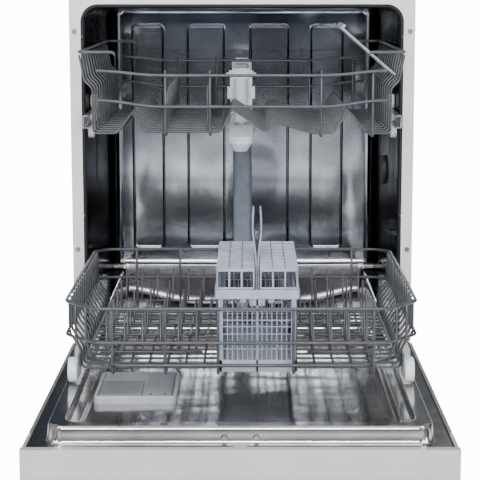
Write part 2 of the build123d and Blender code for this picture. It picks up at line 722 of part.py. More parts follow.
with BuildPart() as detergent_lid:
    block((lid_left + easy_gap, deep(disp_front + 6), deck + 0.3),
          (lid_split, deep(disp_front + 6 + lid_length), disp_top))
    block((lid_left + 8, deep(disp_front + 6), deck + 1.5),
          (lid_split - 8, deep(disp_front + 9), disp_top - 1), mode=Mode.SUBTRACT)
    block((lid_left + 18, deep(disp_front + 30), disp_top - 1.2), (lid_left + 40, deep(disp_front + 36),
                                                                  disp_top + 1), mode=Mode.SUBTRACT)
    fillet(detergent_lid.edges().filter_by(Axis.Z).group_by(Axis.Y)[0], 1)
save(detergent_lid.part, "detergent_lid")

with BuildPart() as rinse_aid_lid:
    block((rinse_left + easy_gap, deep(disp_front + 6), deck + 0.3), (rinse_right - easy_gap,
                                                                     deep(rinse_hinge - 3), disp_top))
    block((rinse_left + 12, deep(disp_front + 6), disp_top), (rinse_right - 12, deep(disp_front + 14),
                                                              disp_top + 2))
save(rinse_aid_lid.part, "rinse_aid_lid")

# ================================================================ lower basket
lower_back = lower_front + lower_length
corner_cut_x = 51.0
corner_cut_y = 54.0
rear_cut = 24.0
wire_step = (main_wire + grid_wire) / 2


def rim_points(inset, height, half, front, back):
    """Corners of a basket rim with cut corners, inset from the widest outline."""
    wide = half - inset
    return [(-half + corner_cut_x, deep(front), height), (half - corner_cut_x, deep(front), height),
            (wide, deep(front + corner_cut_y), height), (wide, deep(back - rear_cut), height),
            (wide - rear_cut, deep(back), height), (-wide + rear_cut, deep(back), height),
            (-wide, deep(back - rear_cut), height), (-wide, deep(front + corner_cut_y), height)]


main_hoop_height = 251.0
main_hoop_xs = (-190.0, -112.0, -34.0, 78.0, 196.0)
cross_hoop_height = main_hoop_height - (4.5 + grid_wire) / 2
low_ring_height = 266.0
low_half = 233.5
cutlery_left = -38.5
cutlery_right = 86.5
cutlery_front = -425.0
cutlery_back = -187.0
side_inner = lower_half_width - wire_step
cross_profile = [(-side_inner, lower_rim_height + 2), (-side_inner, 300.0), (-242.0, 275.0),
                 (-242.0, cross_hoop_height), (242.0, cross_hoop_height), (242.0, 275.0),
                 (side_inner, 300.0), (side_inner, lower_rim_height + 2)]
lower_bars = []
for height in (lower_rim_height, 300.0):
    lower_bars += closed_wire(rim_points(0, height, lower_half_width, lower_front, lower_back), main_wire)
lower_bars += wire([(x, deep(y), z) for x, y, z in (
    (-low_half, lower_back - 40, low_ring_height), (-low_half, lower_front + 50, low_ring_height),
    (-low_half + 48, lower_front, low_ring_height), (low_half - 48, lower_front, low_ring_height),
    (low_half, lower_front + 50, low_ring_height), (low_half, lower_back - 40, low_ring_height))], main_wire)
hoop_inner = (main_wire + 4.5) / 2
main_hoop = wire([(0, deep(lower_front + hoop_inner), lower_rim_height + 2),
                  (0, deep(lower_front + hoop_inner), main_hoop_height),
                  (0, deep(lower_back - hoop_inner), main_hoop_height),
                  (0, deep(lower_back - hoop_inner), lower_rim_height + 2)], 4.5)
lower_bars += at_places(main_hoop, [(x, 0, 0) for x in main_hoop_xs])
cross_hoop = wire([(x, 0, z) for x, z in cross_profile], grid_wire)
cross_depths = evenly(lower_front + 62, lower_back - 30, 10)
lower_bars += at_places(cross_hoop, [(0, deep(y), 0) for y in cross_depths])
floor_wire_height = low_ring_height - wire_step
floor_xs = [n * lower_wire_pitch for n in range(-7, 8)]
for x in floor_xs:
    over_cutlery = cutlery_left - 4 < x < cutlery_right + 4
    start = cutlery_back + 4 if over_cutlery else lower_front
    beside_hoop = min(abs(x - hoop) for hoop in main_hoop_xs) < 4.6
    stop = lower_back - (12 if beside_hoop else 8)
    lower_bars += wire([(x, deep(start + (8 if beside_hoop else 0)), floor_wire_height),
                        (x, deep(stop), floor_wire_height)], grid_wire)
tine_row_height = floor_wire_height + grid_wire
tine_top = 322.0
tine_lean = 12.0
rows_beside_cutlery = (-352.0, -297.0, -242.0)
rows_behind_cutlery = (-166.0, 14.0)
left_tines = [-206.25 + n * lower_wire_pitch for n in range(6)]
right_tines = [96.25 + 13.75 + n * lower_wire_pitch for n in range(4)]
full_tines = [-206.25 + n * lower_wire_pitch for n in range(16)]
lower_tine = wire([(0, 0, tine_row_height + grid_wire / 2), (0, tine_lean, tine_top)], tine_wire)
for y in rows_beside_cutlery:
    for xs in (left_tines, right_tines):
        lower_bars += wire([(xs[0] - 10, deep(y), tine_row_height), (xs[-1] + 10, deep(y), tine_row_height)],
                           grid_wire)
        lower_bars += at_places(lower_tine, [(x, deep(y), 0) for x in xs])
for y in rows_behind_cutlery:
    lower_bars += wire([(full_tines[0] - 10, deep(y), tine_row_height),
                        (full_tines[-1] + 10, deep(y), tine_row_height)], grid_wire)
    lower_bars += at_places(lower_tine, [(x, deep(y), 0) for x in full_tines])
save(Compound(children=lower_bars), "lower_basket_frame")

fold_height = tine_row_height + 0.5
fold_bars = []
fold_depth = -80.0
fold_tine = wire([(0, 0, fold_height + grid_wire / 2), (0, 0, tine_top)], tine_wire)
fold_bars += wire([(full_tines[0] - 10, deep(fold_depth), fold_height),
                   (full_tines[-1] + 10, deep(fold_depth), fold_height)], grid_wire)
fold_bars += at_places(fold_tine, [(x, deep(fold_depth), 0) for x in full_tines])
save(Compound(children=fold_bars), "lower_folding_tines")

axle_height = ledge_height + wheel_lift + wheel_radius
wheel_outer = lower_half_width - 2.5
wheel_inner = wheel_outer - wheel_width
wheel_axle = 5.0
wheel_depths = {"front": -378.0, "rear": 22.0}
with BuildPart() as lower_wheel_carriers:
    for depth in wheel_depths.values():
        with BuildSketch(Plane.YZ.offset(wheel_inner - 2.5)):
            with BuildLine():
                Polyline((deep(depth) - 9, axle_height - 9), (deep(depth) + 9, axle_height - 9),
                         (deep(depth) + 24, 262), (deep(depth) + 24, 272), (deep(depth) - 24, 272),
                         (deep(depth) - 24, 262), close=True)
            make_face()
        extrude(amount=2.4)
        rod((wheel_inner - 1, deep(depth), axle_height), (wheel_outer + 1, deep(depth), axle_height),
            wheel_axle)
    mirror(about=Plane.YZ)
save(lower_wheel_carriers.part, "lower_wheel_carriers")

for name, depth in wheel_depths.items():
    with BuildPart() as wheels:
        rod((wheel_inner, deep(depth), axle_height), (wheel_outer, deep(depth), axle_height), wheel_radius)
        fillet(wheels.edges().filter_by(GeomType.CIRCLE), 1.5)
        rod((wheel_outer - 3, deep(depth), axle_height), (wheel_outer, deep(depth), axle_height),
            wheel_radius - 4, mode=Mode.SUBTRACT)
        rod((wheel_inner, deep(depth), axle_height), (wheel_outer, deep(depth), axle_height),
            wheel_axle + running_gap, mode=Mode.SUBTRACT)
        mirror(about=Plane.YZ)
    save(wheels.part, f"lower_wheels_{name}")

# ================================================================ cutlery basket
cutlery_low = main_hoop_height + 4.5 / 2 + 0.1
cutlery_ledge = 378.0
cutlery_wall = 2.2
cutlery_x = (cutlery_left + cutlery_right) / 2
cutlery_y = (cutlery_front + cutlery_back) / 2
cutlery_width = cutlery_right - cutlery_left
cutlery_length = cutlery_back - cutlery_front
handle_top = 482.0
handle_length = 64.0
handle_stem = 3.0
handle_grip = 8.5
grip_low = 440.0
# the handle is a plate along the basket's middle: a forked outline across, a tapered one along
with BuildPart() as handle_plate:
    with BuildSketch(Plane.XZ.offset(-deep(cutlery_front + 4))):
        with BuildLine():
            Polyline((cutlery_x - handle_stem, cutlery_ledge - 6),
                     (cutlery_x + handle_stem, cutlery_ledge - 6),
                     (cutlery_x + handle_stem, grip_low - 30), (cutlery_x + handle_grip, grip_low),
                     (cutlery_x + handle_grip, handle_top - 4), (cutlery_x + 6, handle_top),
                     (cutlery_x + 3.5, grip_low + 6), (cutlery_x, grip_low - 4),
                     (cutlery_x - 3.5, grip_low + 6), (cutlery_x - 6, handle_top),
                     (cutlery_x - handle_grip, handle_top - 4), (cutlery_x - handle_grip, grip_low),
                     (cutlery_x - handle_stem, grip_low - 30), close=True)
        make_face()
    extrude(amount=8 - cutlery_length)
    with BuildSketch(Plane.YZ.offset(cutlery_x - 2 * handle_grip)):
        with BuildLine():
            Polyline((deep(cutlery_front + 4), cutlery_ledge - 6),
                     (deep(cutlery_back - 4), cutlery_ledge - 6),
                     (deep(cutlery_back - 4), cutlery_ledge + 6),
                     (deep(cutlery_y + handle_length / 2), grip_low),
                     (deep(cutlery_y + handle_length / 2), handle_top),
                     (deep(cutlery_y - handle_length / 2), handle_top),
                     (deep(cutlery_y - handle_length / 2), grip_low),
                     (deep(cutlery_front + 4), cutlery_ledge + 6), close=True)
        make_face()
    extrude(amount=4 * handle_grip, mode=Mode.INTERSECT)
with BuildPart() as cutlery_basket:
    block((cutlery_left + 3, deep(cutlery_front + 3), cutlery_low),
          (cutlery_right - 3, deep(cutlery_back - 3), cutlery_ledge))
    block((cutlery_left, deep(cutlery_front), cutlery_ledge - 14),
          (cutlery_right, deep(cutlery_back), cutlery_ledge))
    for left, right in ((cutlery_left + 5.2, cutlery_x - 1.2), (cutlery_x + 1.2, cutlery_right - 5.2)):
        block((left, deep(cutlery_front + 5.2), cutlery_low + cutlery_wall),
              (right, deep(cutlery_back - 5.2), cutlery_ledge + 1), mode=Mode.SUBTRACT)
    with BuildSketch(Plane.XZ.offset(-deep(cutlery_front - 2))):
        with Locations((cutlery_x - 29, 318), (cutlery_x + 29, 318)):
            with GridLocations(12.5, 19, 4, 5):
                Rectangle(9.5, 15)
    extrude(amount=-cutlery_length - 6, mode=Mode.SUBTRACT)
    with BuildSketch(Plane.YZ.offset(cutlery_left - 2)):
        with Locations((deep(cutlery_y), 318)):
            with GridLocations(15, 19, 14, 5):
                Rectangle(11, 15)
    extrude(amount=cutlery_width + 6, mode=Mode.SUBTRACT)
    block((cutlery_x - 1.2, deep(cutlery_front + 4), cutlery_low),
          (cutlery_x + 1.2, deep(cutlery_back - 4), cutlery_ledge))
    add(handle_plate.part)
save(cutlery_basket.part, "cutlery_basket")

lid_low = cutlery_ledge + 0.3
lid_high = 409.0
lid_gap = 3.6
for hand, side in (("left", -1), ("right", 1)):
    inner = cutlery_x + side * lid_gap
    outer = cutlery_x + side * (cutlery_width / 2 - 2)
    low_x, high_x = min(inner, outer), max(inner, outer)
    with BuildPart() as cutlery_lid:
        block((low_x, deep(cutlery_front + 2), lid_low), (high_x, deep(cutlery_back - 2), lid_high))
        block((low_x + 2, deep(cutlery_front + 4), lid_low - 1), (high_x - 2, deep(cutlery_back - 4),
                                                                 lid_high - 2), mode=Mode.SUBTRACT)
        with BuildSketch(Plane.XY.offset(lid_high - 4)):
            with Locations(((low_x + high_x) / 2, deep(cutlery_y))):
                with GridLocations(18, 25, 3, 9):
                    Rectangle(15, 5)
        extrude(amount=6, mode=Mode.SUBTRACT)
        with BuildSketch(Plane.XZ.offset(-deep(cutlery_front))):
            with Locations(((low_x + high_x) / 2, (lid_low + lid_high) / 2)):
                with GridLocations(18, 0, 3, 1):
                    Rectangle(14, 22)
        extrude(amount=-cutlery_length, mode=Mode.SUBTRACT)
    save(cutlery_lid.part, f"cutlery_lid_{hand}")

# ================================================================ upper basket
upper_back = upper_front + upper_length
hoop_profile = [(-266.0, 709.0), (-258.0, 667.0), (-244.5, 654.0), (-244.5, 584.0), (-241.0, 580.0),
                (-205.0, 580.0), (-180.0, 615.0), (-161.0, 582.0), (-35.0, 582.0), (-16.0, 620.0),
                (40.0, 582.0), (50.0, 600.0), (116.0, 580.0), (150.0, 580.0), (176.0, 617.0),
                (205.0, 580.0), (241.0, 580.0), (244.5, 584.0), (244.5, 654.0), (258.0, 667.0),
                (266.0, 709.0)]
upper_hoop = wire([(x, 0, z) for x, z in hoop_profile], grid_wire)
hoop_depths = evenly(upper_front + 16, upper_back - 10, upper_hoop_count)
upper_bars = at_places(upper_hoop, [(0, deep(y), 0) for y in hoop_depths])
top_rail = 709.0 + wire_step
for side in (-1, 1):
    upper_bars += wire([(side * 206, deep(upper_front + 5), upper_rim_height + 4),
                        (side * 206, deep(upper_front + 5), top_rail),
                        (side * 266, deep(upper_front + 10), top_rail),
                        (side * 266, deep(upper_back), top_rail),
                        (side * 206, deep(upper_back + 5), top_rail),
                        (side * 206, deep(upper_back + 5), upper_rim_height + 4)], main_wire)
for y in (upper_front, upper_back):
    upper_bars += wire([(-238, deep(y), 684), (-205, deep(y), 682), (-150, deep(y), upper_rim_height),
                        (150, deep(y), upper_rim_height), (205, deep(y), 682),
                         (238, deep(y), 684)], main_wire)
    upper_bars += wire([(-238, deep(y), 636), (-205, deep(y), 634), (-150, deep(y), 625),
                        (150, deep(y), 625), (205, deep(y), 634), (238, deep(y), 636)], main_wire)
long_hoop_xs = (-125.0, -52.0, 130.0, 214.0)
for x in long_hoop_xs:
    floor_here = (582.0 if x < 0 else 580.0) - 4.25
    upper_bars += wire([(x, deep(upper_front + 4.75), upper_rim_height + 9),
                        (x, deep(upper_front + 4.75), floor_here),
                        (x, deep(upper_back - 4.75), floor_here),
                        (x, deep(upper_back - 4.75), upper_rim_height + 9)], 4.5)
upper_tine_top = 655.0
upper_tine_lean = 10.0
tine_bed = 582.0 + grid_wire
upper_tine_depths = [(a + b) / 2 for a, b in zip(hoop_depths, hoop_depths[1:])]
upper_tine = wire([(0, 0, tine_bed + grid_wire / 2), (upper_tine_lean, 0, upper_tine_top)], tine_wire)
for x in (-131.0,):
    upper_bars += wire([(x, deep(upper_front + 20), tine_bed), (x, deep(upper_back - 20), tine_bed)],
                       grid_wire)
    upper_bars += at_places(upper_tine, [(x, deep(y), 0) for y in upper_tine_depths])
upper_wheel_depths = {"front": 52.0, "rear": 306.0}
upper_wheel_height = rail_bottom + rail_height / 2
basket_side = 244.5 + grid_wire / 2
stub_radius = 3.0
rail_wall = 1.2
rail_inner = rail_outer - rail_width
upper_wheel_radius = rail_height / 2 - rail_wall - 0.3
with BuildPart() as upper_wheel_carriers:
    for depth in upper_wheel_depths.values():
        block((basket_side, deep(depth) - 24, upper_wheel_height - 12),
              (basket_side + 4, deep(depth) + 24, upper_wheel_height + 46))
        rod((basket_side + 4, deep(depth), upper_wheel_height), (rail_outer - 2, deep(depth),
                                                                upper_wheel_height), stub_radius)
    mirror(about=Plane.YZ)
upper_bars += upper_wheel_carriers.part.solids()
save(Compound(children=upper_bars), "upper_basket_frame")

upper_fold_x = -57.0
upper_fold_height = tine_bed + 0.5
upper_fold_bars = wire([(upper_fold_x, deep(upper_front + 20), upper_fold_height),
                        (upper_fold_x, deep(upper_back - 20), upper_fold_height)], grid_wire)
upper_fold_tine = wire([(0, 0, upper_fold_height + grid_wire / 2), (0, 0, upper_tine_top)], tine_wire)
upper_fold_bars += at_places(upper_fold_tine, [(upper_fold_x, deep(y), 0) for y in upper_tine_depths])
save(Compound(children=upper_fold_bars), "upper_folding_tines")

for name, depth in upper_wheel_depths.items():
    with BuildPart() as upper_wheels:
        rod((rail_inner + 0.6, deep(depth), upper_wheel_height),
            (rail_outer - rail_wall - 0.4, deep(depth), upper_wheel_height), upper_wheel_radius)
        rod((rail_inner - 1, deep(depth), upper_wheel_height), (rail_outer, deep(depth), upper_wheel_height),
            stub_radius + running_gap, mode=Mode.SUBTRACT)
        mirror(about=Plane.YZ)
    save(upper_wheels.part, f"upper_wheels_{name}")

rail_length = 470.0
rail_start = -58.0
rail_end = rail_start + rail_length
rail_top = rail_bottom + rail_height
rail_plates = []
for low, high in (((rail_outer - rail_wall, rail_bottom), (rail_outer, rail_top)),
                  ((rail_inner, rail_bottom), (rail_outer - rail_wall, rail_bottom + rail_wall)),
                  ((rail_inner, rail_top - rail_wall), (rail_outer - rail_wall, rail_top))):
    with BuildPart() as rail_plate:
        block((low[0], deep(rail_start), low[1]), (high[0], deep(rail_end), high[1]))
        mirror(about=Plane.YZ)
    rail_plates += rail_plate.part.solids()
save(Compound(children=rail_plates), "upper_rails")


for name, height in roller_heights.items():
    depth = deep(roller_depths[name])
    with BuildPart() as rollers:
        rod((rail_inner + 0.3, depth, height), (tub_half - 1.5, depth, height), roller_radius)
        fillet(rollers.edges().filter_by(GeomType.CIRCLE), 1)
        rod((rail_inner - 1, depth, height), (tub_half, depth, height), axle_radius + running_gap,
            mode=Mode.SUBTRACT)
        mirror(about=Plane.YZ)
    save(rollers.part, f"tub_rollers_{name}")

# ================================================================ cup shelf
shelf_pivot_x = 258.0
shelf_pivot_z = 672.0
shelf_reach = 118.0
shelf_tilt = 41.0
shelf_front = -128.0
shelf_length = 122.0
shelf_plane = Plane(origin=(shelf_pivot_x - 6, deep(shelf_front), shelf_pivot_z + 4), x_dir=(
    -cos(radians(shelf_tilt)), 0, sin(radians(shelf_tilt))), z_dir=(0, 1, 0))
with BuildPart() as cup_shelf:
    with BuildSketch(shelf_plane):
        with Locations((shelf_reach / 2, 0)):
            Rectangle(shelf_reach, 3)
        with Locations((shelf_reach - 2, 3)):
            Rectangle(4, 8)
    extrude(amount=shelf_length)
    slot_plane = Plane(origin=(shelf_pivot_x - 6, deep(shelf_front + shelf_length / 2), shelf_pivot_z + 4),
                       x_dir=(-cos(radians(shelf_tilt)), 0, sin(radians(shelf_tilt))),
                       z_dir=(sin(radians(shelf_tilt)), 0, cos(radians(shelf_tilt))))
    with BuildSketch(slot_plane.offset(-5)):
        with Locations((shelf_reach / 2 - 4, 0)):
            with GridLocations(34, 16, 3, 7):
                SlotOverall(26, 7)
    extrude(amount=10, mode=Mode.SUBTRACT)
save(cup_shelf.part, "cup_shelf")

# ================================================================ upper feed duct and spray arm
duct_low = 655.0
duct_high = 671.0
column_depth = hoop_depths[6] / 2 + hoop_depths[7] / 2
arm_top = 571.0
arm_low = 545.0
duct_end = tub_back - sheet - bead_rise - riser_thickness - 172 - 1.5
with BuildPart() as upper_feed_duct:
    block((duct_x - 14, deep(column_depth - 14), duct_low), (duct_x + 14, deep(duct_end), duct_high))
    fillet(upper_feed_duct.edges().filter_by(Axis.Y), 5)
    with Locations((duct_x, deep(column_depth), (arm_top + 5 + duct_low + 8) / 2)):
        Cylinder(13, duct_low + 8 - arm_top - 5)
    with Locations((duct_x, deep(column_depth), duct_high)):
        Cylinder(15, 6)
    with Locations((duct_x, deep(column_depth), (arm_low + 10 + arm_top + 6) / 2)):
        Cylinder(8, arm_top + 6 - arm_low - 10)
    with Locations((duct_x, deep(duct_end - 6), (duct_low + duct_high) / 2)):
        Box(38, 12, 20)
save(upper_feed_duct.part, "upper_feed_duct")

upper_arm = spray_arm(duct_x, deep(column_depth), arm_low, arm_top, arm_length, (0, 1, 0), 42)
with BuildPart() as upper_spray_arm:
    add(upper_arm.part)
    with Locations((duct_x, deep(column_depth), (arm_low + 9.5 + arm_top + 1) / 2)):
        Cylinder(8 + running_gap, arm_top + 1 - arm_low - 9.5, mode=Mode.SUBTRACT)
save(upper_spray_arm.part, "upper_spray_arm")
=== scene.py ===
"""Looks of a built in dishwasher, its door open and its baskets drawn out, around its CAD frame.

Every length is in metres in the frame's own axes: +X right, +Y back, +Z up, origin on the floor.
"""
import logging
import math
from dataclasses import dataclass, field
from enum import Enum
from typing import Iterable, Sequence

import bpy
import numpy as np
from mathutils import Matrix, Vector

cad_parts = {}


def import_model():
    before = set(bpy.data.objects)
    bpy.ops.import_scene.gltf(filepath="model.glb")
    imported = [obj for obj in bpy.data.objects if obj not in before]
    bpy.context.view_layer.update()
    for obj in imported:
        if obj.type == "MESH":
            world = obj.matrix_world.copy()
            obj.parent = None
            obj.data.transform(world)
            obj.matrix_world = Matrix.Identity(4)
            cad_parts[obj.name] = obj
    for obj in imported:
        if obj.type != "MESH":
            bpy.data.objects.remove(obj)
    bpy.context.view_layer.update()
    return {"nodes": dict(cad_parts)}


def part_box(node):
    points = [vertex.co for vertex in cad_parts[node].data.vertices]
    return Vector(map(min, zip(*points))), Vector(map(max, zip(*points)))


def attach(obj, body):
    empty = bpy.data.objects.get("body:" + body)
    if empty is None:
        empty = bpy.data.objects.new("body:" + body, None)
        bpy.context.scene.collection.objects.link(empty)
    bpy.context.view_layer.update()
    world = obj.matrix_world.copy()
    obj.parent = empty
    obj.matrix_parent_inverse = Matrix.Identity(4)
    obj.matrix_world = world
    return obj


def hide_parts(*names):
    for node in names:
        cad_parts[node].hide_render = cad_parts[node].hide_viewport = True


log = logging.getLogger("dishwasher")
Array = np.ndarray
MM = 0.001
# The colour sockets of a Mix node set to mix colours.
MIX_FIRST, MIX_SECOND, MIX_RESULT = 6, 7, 2


# ---------------------------------------------------------------- colours and nodes
def linear(hex_colour: str) -> tuple[float, float, float, float]:
    """Turn an sRGB hex colour into linear light.

    Args:
        hex_colour: six hex digits after a hash sign.

    Returns:
        Red, green, blue and an alpha of 1.
    """
    channels = np.array([int(hex_colour[n:n + 2], 16) / 255 for n in (1, 3, 5)])
    low = channels / 12.92
    high = ((channels + 0.055) / 1.055) ** 2.4
    red, green, blue = np.where(channels <= 0.04045, low, high)
    return float(red), float(green), float(blue), 1.0


def add_node(tree: bpy.types.NodeTree, kind: str, settings: dict | None = None,
             links: dict | None = None) -> bpy.types.Node:
    """Add a node with its settings and the links into it.

    Args:
        tree: the node tree.
        kind: the node's Blender type name.
        settings: attributes by name, or input values by socket name.
        links: output sockets by the name or index of the input that they feed.

    Returns:
        The new node.
    """
    node = tree.nodes.new(kind)
    for name, value in (settings or {}).items():
        if isinstance(name, str) and hasattr(node, name):
            setattr(node, name, value)
        else:
            node.inputs[name].default_value = value
    for name, source in (links or {}).items():
        tree.links.new(source, node.inputs[name])
    return node


def shade_between(tree: bpy.types.NodeTree, amount: bpy.types.NodeSocket,
                  stops: Sequence[tuple[float, str]]) -> bpy.types.NodeSocket:
    """Colour a 0 to 1 pattern with a ramp of hex colours.

    Args:
        tree: the node tree.
        amount: the pattern.
        stops: position and hex colour of each stop.

    Returns:
        The ramp's colour output.
    """
    ramp = add_node(tree, "ShaderNodeValToRGB", links={"Fac": amount})
    while len(ramp.color_ramp.elements) < len(stops):
        ramp.color_ramp.elements.new(0.5)
    for element, (position, colour) in zip(ramp.color_ramp.elements, stops):
        element.position = position
        element.color = linear(colour)
    return ramp.outputs["Color"]


def fresh_material(name: str) -> tuple[bpy.types.Material, bpy.types.NodeTree, bpy.types.Node,
                                       bpy.types.NodeSocket]:
    """Start a node material.

    Args:
        name: the material's name.

    Returns:
        The material, its tree, its shader node and the object coordinates.
    """
    material = bpy.data.materials.new(name)
    material.use_nodes = True
    tree = material.node_tree
    shader = tree.nodes["Principled BSDF"]
    place = add_node(tree, "ShaderNodeTexCoord").outputs["Object"]
    return material, tree, shader, place


def noise(tree: bpy.types.NodeTree, place: bpy.types.NodeSocket, size_mm: float,
          detail: float = 2.0, stretch: Sequence[float] = (1, 1, 1)) -> bpy.types.NodeSocket:
    """A noise whose blotches measure about size_mm across.

    Args:
        tree: the node tree.
        place: the coordinates.
        size_mm: the real size of a blotch.
        detail: how many finer octaves it carries.
        stretch: how much longer a blotch is along each axis.

    Returns:
        The pattern from 0 to 1.
    """
    mapped = add_node(tree, "ShaderNodeMapping", {"Scale": tuple(1 / s for s in stretch)},
                      {"Vector": place})
    return add_node(tree, "ShaderNodeTexNoise", {"Scale": 1 / (size_mm * MM), "Detail": detail},
                    {"Vector": mapped.outputs[0]}).outputs["Fac"]


def surface(tree: bpy.types.NodeTree, shader: bpy.types.Node, tint: bpy.types.NodeSocket,
            relief: bpy.types.NodeSocket, depth_mm: float) -> None:
    """Give a shader its colour and its fine relief.

    Args:
        tree: the node tree.
        shader: the shader.
        tint: the colour.
        relief: the pattern that raises the surface.
        depth_mm: how far the pattern's highest stands over its lowest.
    """
    raised = add_node(tree, "ShaderNodeBump", {"Strength": 1.0, "Distance": depth_mm * MM},
                      {"Height": relief})
    tree.links.new(tint, shader.inputs["Base Color"])
    tree.links.new(raised.outputs["Normal"], shader.inputs["Normal"])


def clouded(tree: bpy.types.NodeTree, place: bpy.types.NodeSocket, dark: str, light: str,
            size_mm: float, detail: float = 3.0) -> bpy.types.NodeSocket:
    """A colour that wanders between two hex colours in clouds about size_mm across."""
    return shade_between(tree, noise(tree, place, size_mm, detail), ((0.3, dark), (0.7, light)))


class Grain(Enum):
    """Which way a metal is brushed or rolled."""

    ALONG_X = (60.0, 1.0, 1.0)
    ALONG_Y = (1.0, 60.0, 1.0)
    NONE = (1.0, 1.0, 1.0)


@dataclass(frozen=True)
class Stainless:
    """Ferritic stainless sheet, cold rolled and bright annealed or brushed.

    It gives the eye streaked mirror reflections that wander with the sheet's slight waviness.
    """

    name: str
    light: str
    dark: str
    roughness: float
    spread: float = 0.08
    wave_mm: float = 90.0
    wave_depth_mm: float = 0.8
    grain: Grain = Grain.NONE
    # A dark colour painted on faces that look left or right: a painted reflection of the dark wall
    # opposite.
    painted_side_reflection: str = ""

    def build(self) -> bpy.types.Material:
        """Make the material."""
        material, tree, shader, place = fresh_material(self.name)
        shader.inputs["Metallic"].default_value = 1.0
        streak = noise(tree, place, 4.0, 3.0, self.grain.value)
        tint = clouded(tree, place, self.dark, self.light, 60.0)
        if self.painted_side_reflection:
            tint = self.paint_side_reflection(tree, tint)
        rough = add_node(tree, "ShaderNodeMapRange",
                         {"To Min": self.roughness, "To Max": self.roughness + self.spread},
                         {"Value": streak})
        tree.links.new(rough.outputs[0], shader.inputs["Roughness"])
        wave = noise(tree, place, self.wave_mm, 1.0, (1, 1, 2.2))
        surface(tree, shader, tint, wave, self.wave_depth_mm)
        return material

    def paint_side_reflection(self, tree: bpy.types.NodeTree,
                     tint: bpy.types.NodeSocket) -> bpy.types.NodeSocket:
        """Mix in the side tint as the square of how squarely a face looks to the left or right.

        Steel facing sideways mirrors the opposite wall, which is dark; that dark reflection is painted
        into its base colour and its specular tint, both straight on and at a glance.

        Args:
            tree: the node tree.
            tint: the steel's colour elsewhere.

        Returns:
            The colour with the tint mixed in.
        """
        way = add_node(tree, "ShaderNodeNewGeometry").outputs["True Normal"]
        axes = add_node(tree, "ShaderNodeSeparateXYZ", links={"Vector": way})
        squared = add_node(tree, "ShaderNodeMath", {"operation": "POWER", 1: 2.0},
                           {0: axes.outputs["X"]})
        # Painted reflection: the dark colour goes into the specular tint and the base colour by how far
        # a face looks sideways.
        side = {"data_type": "RGBA", MIX_SECOND: linear(self.painted_side_reflection)}
        edge = add_node(tree, "ShaderNodeMix", {**side, MIX_FIRST: linear("#ffffff")},
                        {0: squared.outputs[0]})
        tree.links.new(edge.outputs[MIX_RESULT], tree.nodes["Principled BSDF"].inputs["Specular Tint"])
        mixed = add_node(tree, "ShaderNodeMix", side, {0: squared.outputs[0], MIX_FIRST: tint})
        return mixed.outputs[MIX_RESULT]


@dataclass(frozen=True)
class Plastic:
    """Injection moulded polypropylene or ABS with a fine spark-eroded grain.

    It gives the eye a soft sheen, with faint flow clouds and, where thin, light through it.
    """

    name: str
    light: str
    dark: str
    roughness: float = 0.42
    grain_mm: float = 1.2
    grain_depth_mm: float = 0.03
    glow: float = 0.0
    alpha: float = 1.0

    def build(self) -> bpy.types.Material:
        """Make the material."""
        material, tree, shader, place = fresh_material(self.name)
        shader.inputs["Roughness"].default_value = self.roughness
        shader.inputs["IOR"].default_value = 1.49
        if self.glow:
            shader.inputs["Subsurface Weight"].default_value = self.glow
            shader.inputs["Subsurface Scale"].default_value = 4 * MM
        if self.alpha < 1:
            shader.inputs["Transmission Weight"].default_value = 1 - self.alpha
        surface(tree, shader, clouded(tree, place, self.dark, self.light, 25.0),
                noise(tree, place, self.grain_mm, 2.0), self.grain_depth_mm)
        return material


@dataclass(frozen=True)
class CoatedWire:
    """Steel wire dipped in nylon powder: a thick satin skin with soft orange peel."""

    name: str
    light: str = "#3d4045"
    dark: str = "#2b2d31"

    def build(self) -> bpy.types.Material:
        """Make the material."""
        material, tree, shader, place = fresh_material(self.name)
        shader.inputs["Roughness"].default_value = 0.32
        shader.inputs["IOR"].default_value = 1.53
        shader.inputs["Coat Weight"].default_value = 0.15
        shader.inputs["Coat Roughness"].default_value = 0.15
        surface(tree, shader, clouded(tree, place, self.dark, self.light, 12.0),
                noise(tree, place, 2.0, 1.0), 0.05)
        return material


@dataclass(frozen=True)
class Enamel:
    """Steel sheet with a baked polyester coat: even colour, orange peel a few millimetres across."""

    name: str
    light: str
    dark: str
    roughness: float = 0.3
    metallic: float = 0.0

    def build(self) -> bpy.types.Material:
        """Make the material."""
        material, tree, shader, place = fresh_material(self.name)
        shader.inputs["Roughness"].default_value = self.roughness
        shader.inputs["Metallic"].default_value = self.metallic
        shader.inputs["IOR"].default_value = 1.5
        surface(tree, shader, clouded(tree, place, self.dark, self.light, 120.0, 2.0),
                noise(tree, place, 3.0, 1.0), 0.02)
        return material


@dataclass(frozen=True)
class Rubber:
    """Moulded EPDM: near black, dull, with a dusting of bloom."""

    name: str

    def build(self) -> bpy.types.Material:
        """Make the material."""
        material, tree, shader, place = fresh_material(self.name)
        tint = shade_between(tree, noise(tree, place, 8.0, 4.0), ((0.35, "#040506"), (0.75, "#0d0e10")))
        shader.inputs["Roughness"].default_value = 0.62
        surface(tree, shader, tint, noise(tree, place, 0.9, 2.0), 0.04)
        return material


